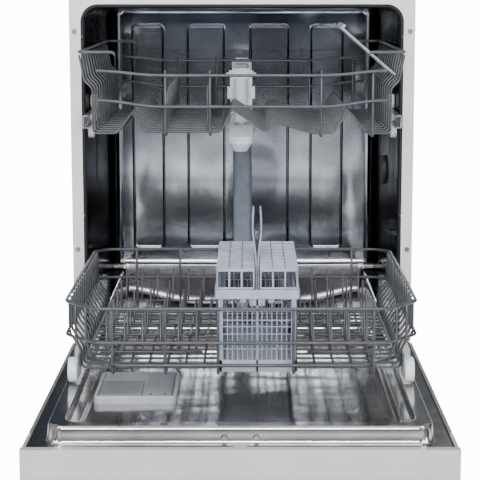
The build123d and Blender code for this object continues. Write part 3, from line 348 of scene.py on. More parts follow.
@dataclass(frozen=True)
class Galvanised:
    """Hot-dip galvanised sheet: zinc spangle, flat crystals that each shine a little differently."""

    name: str
    spangle_mm: float = 9.0

    def build(self) -> bpy.types.Material:
        """Make the material."""
        material, tree, shader, place = fresh_material(self.name)
        crystal = add_node(tree, "ShaderNodeTexVoronoi", {"Scale": 1 / (self.spangle_mm * MM)},
                           {"Vector": place})
        grey = add_node(tree, "ShaderNodeSeparateColor", links={"Color": crystal.outputs["Color"]})
        tint = shade_between(tree, grey.outputs[0], ((0.0, "#9aa0a3"), (1.0, "#aaafb2")))
        rough = add_node(tree, "ShaderNodeMapRange", {"To Min": 0.42, "To Max": 0.52},
                         {"Value": grey.outputs[1]})
        tree.links.new(rough.outputs[0], shader.inputs["Roughness"])
        shader.inputs["Metallic"].default_value = 0.85
        surface(tree, shader, tint, grey.outputs[2], 0.006)
        return material


@dataclass(frozen=True)
class Rough:
    """Cast iron, felt or laminate: a matt surface with coarse grain."""

    name: str
    light: str
    dark: str
    grain_mm: float
    depth_mm: float
    roughness: float = 0.9

    def build(self) -> bpy.types.Material:
        """Make the material."""
        material, tree, shader, place = fresh_material(self.name)
        pattern = noise(tree, place, self.grain_mm, 5.0)
        tint = shade_between(tree, pattern, ((0.35, self.dark), (0.65, self.light)))
        shader.inputs["Roughness"].default_value = self.roughness
        surface(tree, shader, tint, pattern, self.depth_mm)
        return material


FINISHES = {
    # The tub's walls carry a painted dark reflection on faces that look left or right.
    "tub": Stainless("bright_annealed_stainless", "#bcc1c9", "#989ea8", 0.06, 0.10, 85.0, 1.6,
                     painted_side_reflection="#14171c"),
    "pan": Stainless("drawn_stainless_floor", "#8f8e8c", "#74737a", 0.16, 0.12, 50.0, 0.8),
    "liner": Stainless("drawn_stainless_liner", "#cbc9c6", "#aeacaa", 0.10, 0.12, 60.0, 1.1,
                       Grain.ALONG_X),
    "panel": Stainless("brushed_stainless_panel", "#c9c9c8", "#bcbcba", 0.34, 0.12, 200.0, 0.1,
                       Grain.ALONG_X),
    "rail": Stainless("rolled_stainless_rail", "#bcbcbb", "#9c9c9b", 0.25, 0.12, 40.0, 0.1,
                      Grain.ALONG_Y),
    "screw": Stainless("zinc_plated_screw", "#85888d", "#5f6267", 0.2, 0.15, 3.0, 0.05),
    "frame": Enamel("light_grey_enamel", "#cdcdcc", "#c4c4c3"),
    "fascia": Enamel("silver_lacquered_fascia", "#b4b3b1", "#a8a7a5", 0.36, 0.35),
    "gasket": Rubber("moulded_epdm_gasket"),
    "wire": CoatedWire("nylon_coated_wire"),
    "riser": Plastic("blue_grey_polypropylene", "#929fae", "#7f8b99", 0.4),
    "duct": Plastic("grey_polypropylene_duct", "#bdc1c7", "#a3a8ae", 0.38),
    "cutlery": Plastic("pale_blue_grey_polypropylene", "#989fae", "#828a9a", 0.42, glow=0.08),
    "dispenser": Plastic("dispenser_grey_abs", "#9a9ea5", "#868a91", 0.34),
    "lid": Plastic("dispenser_lid_abs", "#73777e", "#666a71", 0.3),
    "wheel": Plastic("milky_polypropylene_wheel", "#e3e6ea", "#c6cbd3", 0.3, glow=0.35),
    "carrier": Plastic("grey_acetal_carrier", "#8f96a0", "#7c838d", 0.4),
    "shelf": Plastic("translucent_polypropylene_shelf", "#aab4c0", "#8f9aa8", 0.3, glow=0.1, alpha=0.6),
    "dark": Plastic("charcoal_polypropylene", "#3a3d40", "#292b2e", 0.5),
    "base": Plastic("black_grey_polypropylene_base", "#3b3e41", "#2b2d30", 0.55),
    "pump": Plastic("grey_glass_filled_pump", "#5c6064", "#484b4f", 0.5),
    "foot": Plastic("black_polyamide_foot", "#26282a", "#18191b", 0.45),
    "latch": Plastic("grey_acetal_latch", "#a7a9ab", "#8e9092", 0.35),
    "button": Plastic("silver_abs_button", "#bfc1c3", "#abadb0", 0.25),
    "galvanised": Galvanised("galvanised_sheet"),
    "felt": Rough("bitumen_backed_felt", "#34363a", "#1c1d20", 1.6, 0.5),
    "iron": Rough("cast_iron_ballast", "#4b4b4c", "#333334", 1.2, 0.3, 0.75),
    "board": Rough("green_circuit_laminate", "#24573a", "#1a452c", 6.0, 0.05, 0.4),
    "spring": Stainless("oiled_spring_steel", "#77787a", "#4e4f52", 0.3, 0.1, 5.0, 0.05),
}

CAD_FINISHES = {
    "front_frame": "frame", "frame_screws": "screw", "steam_vent_cap": "dark",
    "insulation_blanket": "felt", "side_panels": "galvanised", "rear_frame": "galvanised",
    "top_mount_brackets": "galvanised", "base_tray": "base", "ballast_block": "iron",
    "sump_housing": "base", "fine_filter_plate": "tub", "circulation_pump": "pump",
    "drain_pump": "pump", "water_bulkhead": "base", "junction_box": "base", "riser_pipe": "riser",
    "hinge_brackets": "galvanised", "coarse_filter": "riser", "overfill_float": "riser",
    "foot_front_left": "foot", "foot_front_right": "foot", "foot_rear_left": "foot",
    "foot_rear_right": "foot", "lower_spray_arm": "riser", "door_outer_panel": "panel",
    "door_edge_seals": "gasket", "control_fascia": "fascia", "control_board": "board",
    "door_latch": "latch", "door_screws": "screw", "hinge_arms": "galvanised",
    "dispenser_housing": "dispenser", "power_button": "button", "start_button": "button",
    "lower_wheel_carriers": "carrier", "upper_feed_duct": "duct", "upper_spray_arm": "duct",
    "cup_shelf": "shelf", "upper_rails": "rail", "upper_wheels_front": "wheel",
    "upper_wheels_rear": "wheel", "tub_rollers_lower": "wheel", "tub_rollers_upper": "wheel",
}

# The materials made from the finishes, filled in by main.
FINISHED: dict[str, bpy.types.Material] = {}


# ---------------------------------------------------------------- meshes
@dataclass
class Shell:
    """Corners and faces of a mesh that is still being gathered."""

    corners: list[Array] = field(default_factory=list)
    faces: list[Array] = field(default_factory=list)
    count: int = 0

    def take(self, corners: Array, faces: Array) -> None:
        """Add corners and the quads or triangles that use them."""
        self.corners.append(corners)
        self.faces.append(faces + self.count)
        self.count += len(corners)

    def copies(self, corners: Array, faces: Array, shifts: Array) -> None:
        """Add a copy of a form at each shift, all in one array sum."""
        many = (corners[None] + shifts[:, None]).reshape(-1, 3)
        steps = np.arange(len(shifts)) * len(corners)
        self.take(many, (faces[None] + steps[:, None, None]).reshape(-1, faces.shape[1]))

    def finish(self, name: str, finish: str, smooth: bool = True) -> bpy.types.Object:
        """Turn what was gathered into an object.

        Args:
            name: the piece's name.
            finish: the key of its finish.
            smooth: whether its faces are shaded smooth.

        Returns:
            The new object, at the origin.
        """
        mesh = bpy.data.meshes.new(name)
        faces = [face for block in self.faces for face in block.tolist()]
        mesh.from_pydata(np.concatenate(self.corners).tolist(), [], faces)
        mesh.validate()
        mesh.update()
        mesh.polygons.foreach_set("use_smooth", np.full(len(mesh.polygons), smooth))
        mesh.materials.append(FINISHED[finish])
        piece = bpy.data.objects.new(name, mesh)
        bpy.context.scene.collection.objects.link(piece)
        log.info("%s: %d faces in %s", name, len(mesh.polygons), finish)
        return piece


def quads(rows: int, columns: int, wrap: bool = False) -> Array:
    """Faces of a grid of rows by columns of corners; wrap joins the last column to the first."""
    steps = columns if wrap else columns - 1
    row, column = np.meshgrid(np.arange(rows - 1), np.arange(steps), indexing="ij")
    here = row * columns + column
    right = row * columns + (column + 1) % columns
    return np.stack([here, right, right + columns, here + columns], -1).reshape(-1, 4)


def bent(points: Array, bend: float, steps: int = 4, closed: bool = False) -> Array:
    """Round a path's corners with arcs.

    Each corner gives way to a quadratic curve from a point bend before it to one bend after it,
    no further than 0.45 of the shorter run.

    Args:
        points: corners of the path, one row each.
        bend: how far before and after a corner the curve starts and ends.
        steps: how many points each curve has beyond its first.
        closed: whether the last corner joins the first.

    Returns:
        The path's points; a closed path repeats its first point last.
    """
    before = np.roll(points, 1, 0) if closed else points[:-2]
    middle = points if closed else points[1:-1]
    after = np.roll(points, -1, 0) if closed else points[2:]
    back, on = before - middle, after - middle
    back_run = np.linalg.norm(back, axis=1, keepdims=True)
    on_run = np.linalg.norm(on, axis=1, keepdims=True)
    reach = np.minimum(bend, 0.45 * np.minimum(back_run, on_run))
    start, end = middle + back / back_run * reach, middle + on / on_run * reach
    t = np.linspace(0, 1, steps + 1)[None, :, None]
    curve = (1 - t) ** 2 * start[:, None] + 2 * t * (1 - t) * middle[:, None] + t ** 2 * end[:, None]
    curve = curve.reshape(-1, 3)
    if closed:
        return np.vstack([curve, curve[:1]])
    return np.vstack([points[:1], curve, points[-1:]])


def tube(path: Array, radius: float, sides: int = 8, domed: bool = True) -> tuple[Array, Array]:
    """A round bar along a path that lies in one plane.

    A ring of corners turns about each point of the path, in the plane across the path's direction
    there: one axis is the path's plane's normal and the other is square to it and to the path.

    Args:
        path: points of the path.
        radius: the bar's radius.
        sides: corners in a ring.
        domed: whether each end is a shallow dome; otherwise the path is a closed loop.

    Returns:
        Corners and quads.
    """
    along = np.gradient(path, axis=0)
    if not domed:
        along[0] = along[-1] = path[1] - path[-2]
    along /= np.linalg.norm(along, axis=1, keepdims=True)
    _, spread, axes = np.linalg.svd(path - path.mean(0))
    normal = axes[2] if spread[1] > 1e-6 else np.cross(along[0], axes[1])
    normal = normal / np.linalg.norm(normal)
    across = np.cross(along, normal)
    across /= np.linalg.norm(across, axis=1, keepdims=True)
    radii = np.full(len(path), radius)
    if domed:
        tip = np.array([0.75, 0.5, 0.02]) * radius
        reach = np.array([0.45, 0.8, 0.95]) * radius
        path = np.vstack([path[0] - along[0] * reach[::-1, None] + along[0] * radius, path,
                          path[-1] + along[-1] * reach[:, None] - along[-1] * radius])
        path[3] += along[0] * radius
        path[-4] -= along[-1] * radius
        across = np.vstack([across[:1].repeat(3, 0), across, across[-1:].repeat(3, 0)])
        radii = np.concatenate([tip[::-1], radii, tip])
    turn = np.linspace(0, 2 * np.pi, sides, endpoint=False)
    ring = np.cos(turn)[None, :, None] * normal + np.sin(turn)[None, :, None] * across[:, None]
    corners = path[:, None] + ring * radii[:, None, None]
    return corners.reshape(-1, 3), quads(len(path), sides, wrap=True)


def lathe(profile: Array, middle: Array, axis: int, sides: int = 48) -> tuple[Array, Array]:
    """Turn a profile about an axis through middle.

    Args:
        profile: rows of distance along the axis and radius.
        middle: a point on the axis.
        axis: 0, 1 or 2 for X, Y or Z.
        sides: how many steps in a turn.

    Returns:
        Corners and quads.
    """
    turn = np.linspace(0, 2 * np.pi, sides, endpoint=False)
    one, two = [n for n in range(3) if n != axis]
    corners = np.zeros((len(profile), sides, 3))
    corners[..., axis] = profile[:, :1]
    corners[..., one] = profile[:, 1:] * np.cos(turn)
    corners[..., two] = profile[:, 1:] * np.sin(turn)
    return (corners + middle).reshape(-1, 3), quads(len(profile), sides, wrap=True)


def lines(stops: Iterable[float], fine_at: Iterable[float], fine: float, near: float,
          coarse: float) -> Array:
    """Grid lines that crowd where a surface bends.

    Args:
        stops: the lowest and highest line.
        fine_at: places to crowd round.
        fine: spacing near those places.
        near: how far the crowding reaches each side.
        coarse: spacing elsewhere.

    Returns:
        Sorted line positions.
    """
    low, high = stops
    values = [np.linspace(low, high, max(2, int((high - low) / coarse) + 1))]
    values += [np.arange(place - near, place + near + fine / 2, fine) for place in fine_at]
    inner = np.unique(np.round(np.concatenate(values), 5))
    inner = inner[(inner > low + fine * 0.4) & (inner < high - fine * 0.4)]
    keep = np.concatenate([[True], np.diff(inner) > fine * 0.4])
    return np.concatenate([[low], inner[keep], [high]])


def smooth_step(value: Array, start: float, end: float) -> Array:
    """A smooth rise from 0 at start to 1 at end, as 3t^2 - 2t^3."""
    t = np.clip((value - start) / (end - start), 0, 1)
    return t * t * (3 - 2 * t)


def rounded_distance(x: Array, y: Array, half_x: float, half_y: float, radius: float) -> Array:
    """Signed distance to a rounded rectangle about the origin, negative inside."""
    dx, dy = np.abs(x) - half_x + radius, np.abs(y) - half_y + radius
    outside = np.hypot(np.maximum(dx, 0), np.maximum(dy, 0))
    return outside + np.minimum(np.maximum(dx, dy), 0) - radius


# ---------------------------------------------------------------- the object's places
@dataclass
class Places:
    """Positions that several pieces share, read from the CAD nodes' boxes."""

    front: float = 0.0
    tub_half: float = 0.0
    tub_top: float = 0.0
    tub_back: float = 0.0

    @classmethod
    def read(cls) -> "Places":
        """Read them from the frame."""
        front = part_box("front_frame")[0].y
        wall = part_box("tub_rear_wall")[1]
        return cls(front, wall.x, wall.z, wall.y)


def box_mm(node: str) -> tuple[Array, Array]:
    """A CAD node's lowest and highest corner in millimetres."""
    low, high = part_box(node)
    return np.array(low, float) / MM, np.array(high, float) / MM


def dress_cad(frame: dict) -> None:
    """Give each CAD node that stays in view its finish."""
    for node, finish in CAD_FINISHES.items():
        mesh = frame["nodes"][node].data
        mesh.materials.clear()
        mesh.materials.append(FINISHED[finish])


# ---------------------------------------------------------------- tub
@dataclass
class Tub:
    """Deep-drawn stainless tub: walls, beaded rear wall, sloping floor, rubber round its mouth."""

    places: Places
    back_radius: float = 22 * MM
    top_radius: float = 25 * MM
    bead_spans: tuple = ((-233, -165), (-118, -38), (12, 95), (138, 208))
    bead_low: float = 267 * MM
    bead_high: float = 740 * MM
    bead_half: float = 2.6 * MM
    bead_rise: float = 1.9 * MM
    bead_corner: float = 9 * MM
    skin: float = 0.5 * MM
    mouth: float = 14 * MM
    wall_foot: float = 226 * MM
    axle_radius: float = 2.9 * MM
    axle_start: float = 262.5 * MM
    floor_middle: float = 150.5 * MM
    floor_rise: float = 26 * MM
    ledge_rise: float = 49.5 * MM
    sill: float = 183 * MM
    step_top: float = 240.5 * MM
    gasket_foot: float = 186 * MM
    flap_height: float = 174.5 * MM
    pin_heights: tuple = (0.733, 0.581, 0.420, 0.262)
    spring_wire: float = 1.6 * MM
    spring_turns: int = 46

    def arch(self, inset: Array, low: float) -> Array:
        """Outlines of the mouth's arch, one for each inset: left foot, round the top, right foot.

        The corners are quarter circles whose radius shrinks with the inset.

        Args:
            inset: how far each outline lies inside the tub's walls.
            low: the height of the arch's feet.

        Returns:
            Points by outline, at a depth of 0.
        """
        half = self.places.tub_half - self.skin
        top = self.places.tub_top - self.skin
        turn = np.linspace(0, np.pi / 2, 9)
        radius = np.maximum(self.top_radius - inset, 4 * MM)[:, None]
        side = np.linspace(0, 1, 14)[:-1]
        inset = inset[:, None]
        left_x = -(half - inset) + 0 * side
        left_z = low + (top - inset - radius - low) * side
        corner_x = -(half - inset) + radius * (1 - np.cos(turn))
        corner_z = top - inset - radius + radius * np.sin(turn)
        x = np.hstack([left_x, corner_x, -corner_x[:, ::-1], -left_x[:, ::-1]])
        z = np.hstack([left_z, corner_z, corner_z[:, ::-1], left_z[:, ::-1]])
        return np.stack([x, 0 * x, z], -1)

    def walls(self) -> None:
        """Sides and ceiling, running back and then turning in to meet the rear wall."""
        front = self.places.front + self.mouth
        back = self.places.tub_back - self.skin - 0.5 * MM
        turn = np.linspace(0, np.pi / 2, 10)
        run = np.linspace(front, back - self.back_radius, 24)[:-1]
        depth = np.concatenate([run, back - self.back_radius + self.back_radius * np.sin(turn)])
        inset = np.concatenate([0 * run, self.back_radius * (1 - np.cos(turn))])
        corners = self.arch(inset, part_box("tub_floor_pan")[0].z + 76 * MM)
        corners[..., 1] = depth[:, None]
        shell = Shell()
        shell.take(corners.reshape(-1, 3), quads(*corners.shape[:2])[:, ::-1])
        for node in ("tub_rollers_lower", "tub_rollers_upper"):
            near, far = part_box(node)
            y, z = (near.y + far.y) / 2, (near.z + far.z) / 2
            for side in (-1, 1):
                path = np.array([[side * self.axle_start, y, z], [side * self.places.tub_half, y, z]])
                shell.take(*tube(path, self.axle_radius, 16))
        piece = shell.finish("tub_walls", "tub")
        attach(piece, "tub")
        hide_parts("tub_wrapper")

    def flange(self) -> None:
        """The narrow band of the tub's sheet that turns out behind the front frame."""
        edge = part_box("tub_wrapper")[1].x
        inset = np.array([0.0, -(edge - self.places.tub_half) + 1 * MM])
        corners = self.arch(inset, self.wall_foot)
        corners[..., 1] = self.places.front + self.mouth + self.skin
        shell = Shell()
        shell.take(corners.reshape(-1, 3), quads(*corners.shape[:2]))
        piece = shell.finish("tub_front_flange", "tub")
        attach(piece, "tub")

    def rear_wall(self) -> None:
        """Flat rear wall with four raised rectangular beads.

        Each bead is a ridge whose height is a raised cosine of the distance to a rounded rectangle.
        """
        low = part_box("tub_rear_wall")[0]
        half, top = self.places.tub_half - 1 * MM, self.places.tub_top - 1 * MM
        edges = [edge * MM for span in self.bead_spans for edge in span]
        x = lines((-half, half), edges, 1 * MM, 13 * MM, 18 * MM)
        z = lines((low.z, top), (self.bead_low, self.bead_high), 1.2 * MM, 14 * MM, 24 * MM)
        grid_z, grid_x = np.meshgrid(z, x, indexing="ij")
        rise = np.zeros_like(grid_x)
        for left, right in self.bead_spans:
            middle = (left + right) / 2 * MM
            away = rounded_distance(grid_x - middle, grid_z - (self.bead_low + self.bead_high) / 2,
                                    (right - left) / 2 * MM - self.bead_half,
                                    (self.bead_high - self.bead_low) / 2 - self.bead_half,
                                    self.bead_corner)
            ridge = np.cos(np.clip(np.abs(away) / self.bead_half, 0, 1) * np.pi / 2) ** 2
            rise = np.maximum(rise, self.bead_rise * ridge)
        corners = np.stack([grid_x, self.places.tub_back - 1.2 * MM - rise, grid_z], -1)
        shell = Shell()
        shell.take(corners.reshape(-1, 3), quads(len(z), len(x)))
        piece = shell.finish("tub_rear_wall_beaded", "tub")
        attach(piece, "tub")
        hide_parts("tub_rear_wall")

    def floor(self) -> None:
        """Floor sheet: wheel ledges at both sides, a slope down to the sump, and a step at the back.

        Its height is a sum of smooth steps across the width and the depth.
        """
        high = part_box("tub_floor_pan")[1]
        front = self.places.front
        step = high.y - 23 * MM
        half = self.places.tub_half - 0.3 * MM
        x = lines((-half, half), (-250 * MM, 250 * MM, -222 * MM, 222 * MM, -85 * MM, 85 * MM), 1.5 * MM,
                  12 * MM, 14 * MM)
        y = lines((front + self.mouth, high.y - 0.5 * MM),
                  (front + 17 * MM, step, front + 96 * MM, front + 285 * MM), 1.5 * MM, 10 * MM, 14 * MM)
        grid_y, grid_x = np.meshgrid(y, x, indexing="ij")
        across = np.abs(grid_x)
        bowl = self.floor_middle + self.floor_rise * smooth_step(across, 80 * MM, 245 * MM) ** 1.4
        height = bowl + self.ledge_rise * smooth_step(across, 242 * MM, 253 * MM)
        to_sill = smooth_step(-grid_y, -(front + 22 * MM), -(front + 15 * MM))
        height = np.maximum(height, self.floor_middle + (self.sill - self.floor_middle) * to_sill)
        to_step = smooth_step(grid_y, step - 3 * MM, step + 3 * MM)
        height = height + (self.step_top - height) * to_step
        in_sump = (across < 84 * MM) & (grid_y > front + 97 * MM) & (grid_y < front + 284 * MM)
        corners = np.stack([grid_x, grid_y, height], -1)
        faces = quads(len(y), len(x))
        faces = faces[~in_sump.reshape(-1)[faces].all(1)]
        shell = Shell()
        shell.take(corners.reshape(-1, 3), faces)
        piece = shell.finish("tub_floor", "pan")
        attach(piece, "tub")
        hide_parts("tub_floor_pan")

    def gasket(self) -> None:
        """Rubber lip round the mouth: three beads along the arch, and a double flap on the sill."""
        shell = Shell()
        front = self.places.front
        for inset, depth, radius in ((-2.6, 3.6, 2.3), (-2.4, 8.0, 2.5), (-2.3, 11.3, 2.4)):
            outline = self.arch(np.array([inset * MM]), self.gasket_foot)[0]
            outline[:, 1] = front + depth * MM
            shell.take(*tube(outline, radius * MM, 10))
        half = self.places.tub_half - 5 * MM
        flap = np.array([[side * half, front - 1.6 * MM, self.flap_height] for side in (-1, 1)])
        shell.take(*tube(flap, 2.2 * MM, 10))
        flap = flap + np.array([0, -0.2 * MM, 4.5 * MM])
        shell.take(*tube(flap, 2.0 * MM, 10))
        piece = shell.finish("door_gasket_lips", "gasket")
        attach(piece, "tub")
        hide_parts("door_gasket")

    def pins(self) -> None:
        """Small bright pins that hold the gasket's channel along both sides of the mouth."""
        profile = np.array([[0, 0.1], [0, 1.2], [0.5, 1.7], [1.4, 1.8]]) * MM
        corners, faces = lathe(profile, np.zeros(3), 1, 20)
        spots = [(side * (self.places.tub_half + 3.4 * MM), self.places.front - 0.4 * MM, height)
                 for side in (-1, 1) for height in self.pin_heights]
        shell = Shell()
        shell.copies(corners, faces, np.array(spots))
        piece = shell.finish("gasket_channel_pins", "screw")
        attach(piece, "tub")

    def springs(self) -> None:
        """Coil springs of the door beside the tub: a ring of corners carried along a helix."""
        low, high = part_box("door_springs")
        coil_radius = (high.z - low.z) / 2 - 0.9 * MM
        middle_z = (low.z + high.z) / 2
        angle = np.linspace(0, 2 * np.pi * self.spring_turns, self.spring_turns * 14)
        y = np.linspace(low.y + 2 * MM, high.y - 2 * MM, len(angle))
        outward = np.stack([np.cos(angle), 0 * angle, np.sin(angle)], -1)
        shell = Shell()
        turn = np.linspace(0, 2 * np.pi, 6, endpoint=False)
        for side in (-1, 1):
            middle = np.stack([0 * y + side * (high.x - (high.z - low.z) / 2), y, 0 * y + middle_z], -1)
            path = middle + outward * coil_radius
            ring = (np.cos(turn)[None, :, None] * outward[:, None]
                    + np.sin(turn)[None, :, None] * np.array([0, 1, 0]))
            corners = path[:, None] + ring * self.spring_wire / 2
            shell.take(corners.reshape(-1, 3), quads(len(path), 6, wrap=True))
        piece = shell.finish("door_spring_coils", "spring")
        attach(piece, "tub")
        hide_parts("door_springs")

    def build(self) -> None:
        """Build and dress the tub."""
        self.walls()
        self.flange()
        self.rear_wall()
        self.floor()
        self.gasket()
        self.pins()
        self.springs()


# ---------------------------------------------------------------- door
@dataclass
class DoorLiner:
    """Pressed stainless inner door: flat edge, raised plateau and a two-step recess."""

    places: Places
    rim: float = 224 * MM
    plane: float = 200 * MM
    floor: float = 206.4 * MM
    ledge: float = 215.2 * MM
    plateau_half: float = 269.3 * MM
    plateau_far: float = 599 * MM
    plateau_near: float = 16 * MM
    side_insets: tuple = (0.0, 26 * MM, 44 * MM)
    end_insets: tuple = (0.0, 24 * MM, 42 * MM)
    crown: float = 1.2 * MM
    crown_half: float = 225 * MM
    dispenser_overlap: float = 3 * MM

    def build(self) -> None:
        """Build the sheet as one height over the door's plane, a sum of smooth steps and a crown.

        The plateau's side is a steep smooth step of the distance to its rounded outline, and the two
        recess steps are the same about smaller outlines. The crown is a cosine across the recess.
        """
        low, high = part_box("door_liner")
        start, end = self.places.front - self.plateau_far, self.places.front - self.plateau_near
        x_marks = [side * (self.plateau_half - inset - 2 * MM) for side in (-1, 1)
                   for inset in self.side_insets]
        y_marks = [place for inset in self.end_insets
                   for place in (start + inset + 2 * MM, end - inset - 2 * MM)]
        x = lines((low.x + 0.3 * MM, high.x - 0.3 * MM), x_marks, 0.9 * MM, 8 * MM, 9 * MM)
        y = lines((low.y + 0.3 * MM, high.y - 0.3 * MM), y_marks, 0.9 * MM, 8 * MM, 9 * MM)
        grid_y, grid_x = np.meshgrid(y, x, indexing="ij")
        across, along = grid_x, grid_y - (start + end) / 2
        side_1, side_2 = self.side_insets[1:]
        end_1, end_2 = self.end_insets[1:]
        edge = smooth_step(-self.away(across, along, 0, 0, 25 * MM), 0, 4.2 * MM)
        first = smooth_step(-self.away(across, along, side_1, end_1, 24 * MM), -1.5 * MM, 4 * MM)
        second = smooth_step(-self.away(across, along, side_2, end_2, 22 * MM), -1.5 * MM, 4 * MM)
        bulge = smooth_step(-self.away(across, along, 50 * MM, 48 * MM, 22 * MM), 0, 90 * MM) * 0.6
        height = (self.plane + (self.rim - self.plane) * edge - (self.rim - self.ledge) * first
                  - (self.ledge - self.floor) * second
                  + self.crown * np.cos(np.clip(across / self.crown_half, -1, 1) * np.pi / 2) * bulge)
        corners = np.stack([grid_x, grid_y, height - 0.1 * MM], -1)
        box_low, box_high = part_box("dispenser_housing")
        gap = self.dispenser_overlap
        in_dispenser = ((grid_x > box_low.x + gap) & (grid_x < box_high.x - gap)
                        & (grid_y > box_low.y + gap) & (grid_y < box_high.y - gap))
        faces = quads(len(y), len(x))
        faces = faces[~in_dispenser.reshape(-1)[faces].all(1)]
        shell = Shell()
        shell.take(corners.reshape(-1, 3), faces)
        piece = shell.finish("door_liner_pressing", "liner")
        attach(piece, "door")
        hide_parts("door_liner")

    def away(self, across: Array, along: Array, side_inset: float, end_inset: float,
             radius: float) -> Array:
        """Signed distance to the plateau's rounded outline, drawn in by its insets."""
        half_along = (self.plateau_far - self.plateau_near) / 2
        return rounded_distance(across, along, self.plateau_half - side_inset, half_along - end_inset,
                                radius)


# ---------------------------------------------------------------- wheels
@dataclass
class Wheel:
    """A moulded wheel: tread with rounded shoulders, dished web, hub, in pairs on one axis."""

    node: str
    body: str
    width: float = 15 * MM

    def build(self) -> None:
        """Turn the profile about X at each side: out along the inner face, over the tread, back in."""
        low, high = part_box(self.node)
        y, z = (low.y + high.y) / 2, (low.z + high.z) / 2
        r, w = (high.z - low.z) / 2 / MM, self.width / MM
        profile = np.array([
            [0, 5.1], [0, 8], [2, 9], [4, r - 6], [1, r - 4], [0.3, r - 2.2], [1.2, r - 0.4], [2.6, r],
            [w - 2.6, r], [w - 1.2, r - 0.4], [w - 0.3, r - 2.2], [w - 1, r - 4], [w - 4.5, r - 5.5],
            [w - 5, 10], [w - 2, 8.6], [w, 8], [w, 5.1], [0, 5.1]]) * MM
        shell = Shell()
        corners, faces = lathe(profile, np.zeros(3), 0, 56)
        for side in (-1, 1):
            placed = corners * np.array([side, 1, 1])
            placed = placed + np.array([side * (high.x - self.width), y, z])
            shell.take(placed, faces if side < 0 else faces[:, ::-1])
        piece = shell.finish(f"{self.node}_turned", "wheel")
        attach(piece, self.body)
        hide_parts(self.node)


# ---------------------------------------------------------------- mouldings
def box_form(low: Sequence[float], high: Sequence[float]) -> tuple[Array, Array]:
    """A box from its lowest to its highest corner, both in millimetres.

    Returns:
        Corners in metres and quads.
    """
    (x0, y0, z0), (x1, y1, z1) = low, high
    corners = np.array([[x0, y0, z0], [x1, y0, z0], [x1, y1, z0], [x0, y1, z0],
                        [x0, y0, z1], [x1, y0, z1], [x1, y1, z1], [x0, y1, z1]], float) * MM
    return corners, np.array([[0, 3, 2, 1], [4, 5, 6, 7], [0, 1, 5, 4], [1, 2, 6, 5], [2, 3, 7, 6],
                              [3, 0, 4, 7]])


@dataclass
class Moulding:
    """Ribs and walls of one moulded piece, gathered and then softened at their edges."""

    name: str
    shell: Shell = field(default_factory=Shell)

    def rib(self, low: Sequence[float], high: Sequence[float],
            shifts: Sequence[Sequence[float]] = ((0, 0, 0),)) -> None:
        """Add a rib or wall and its copies, in millimetres."""
        self.shell.copies(*box_form(low, high), np.array(shifts, float) * MM)

    def place(self, body: str, node: str | None, finish: str, slot: str, soften: float = 0.35) -> None:
        """Finish the piece so that it rides on a body, in place of a CAD node if one is named."""
        piece = self.shell.finish(self.name, finish, smooth=False)
        edge = piece.modifiers.new("soft_edges", "BEVEL")
        edge.width, edge.segments, edge.limit_method = soften * MM, 1, "ANGLE"
        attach(piece, body)
        if node:
            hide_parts(node)


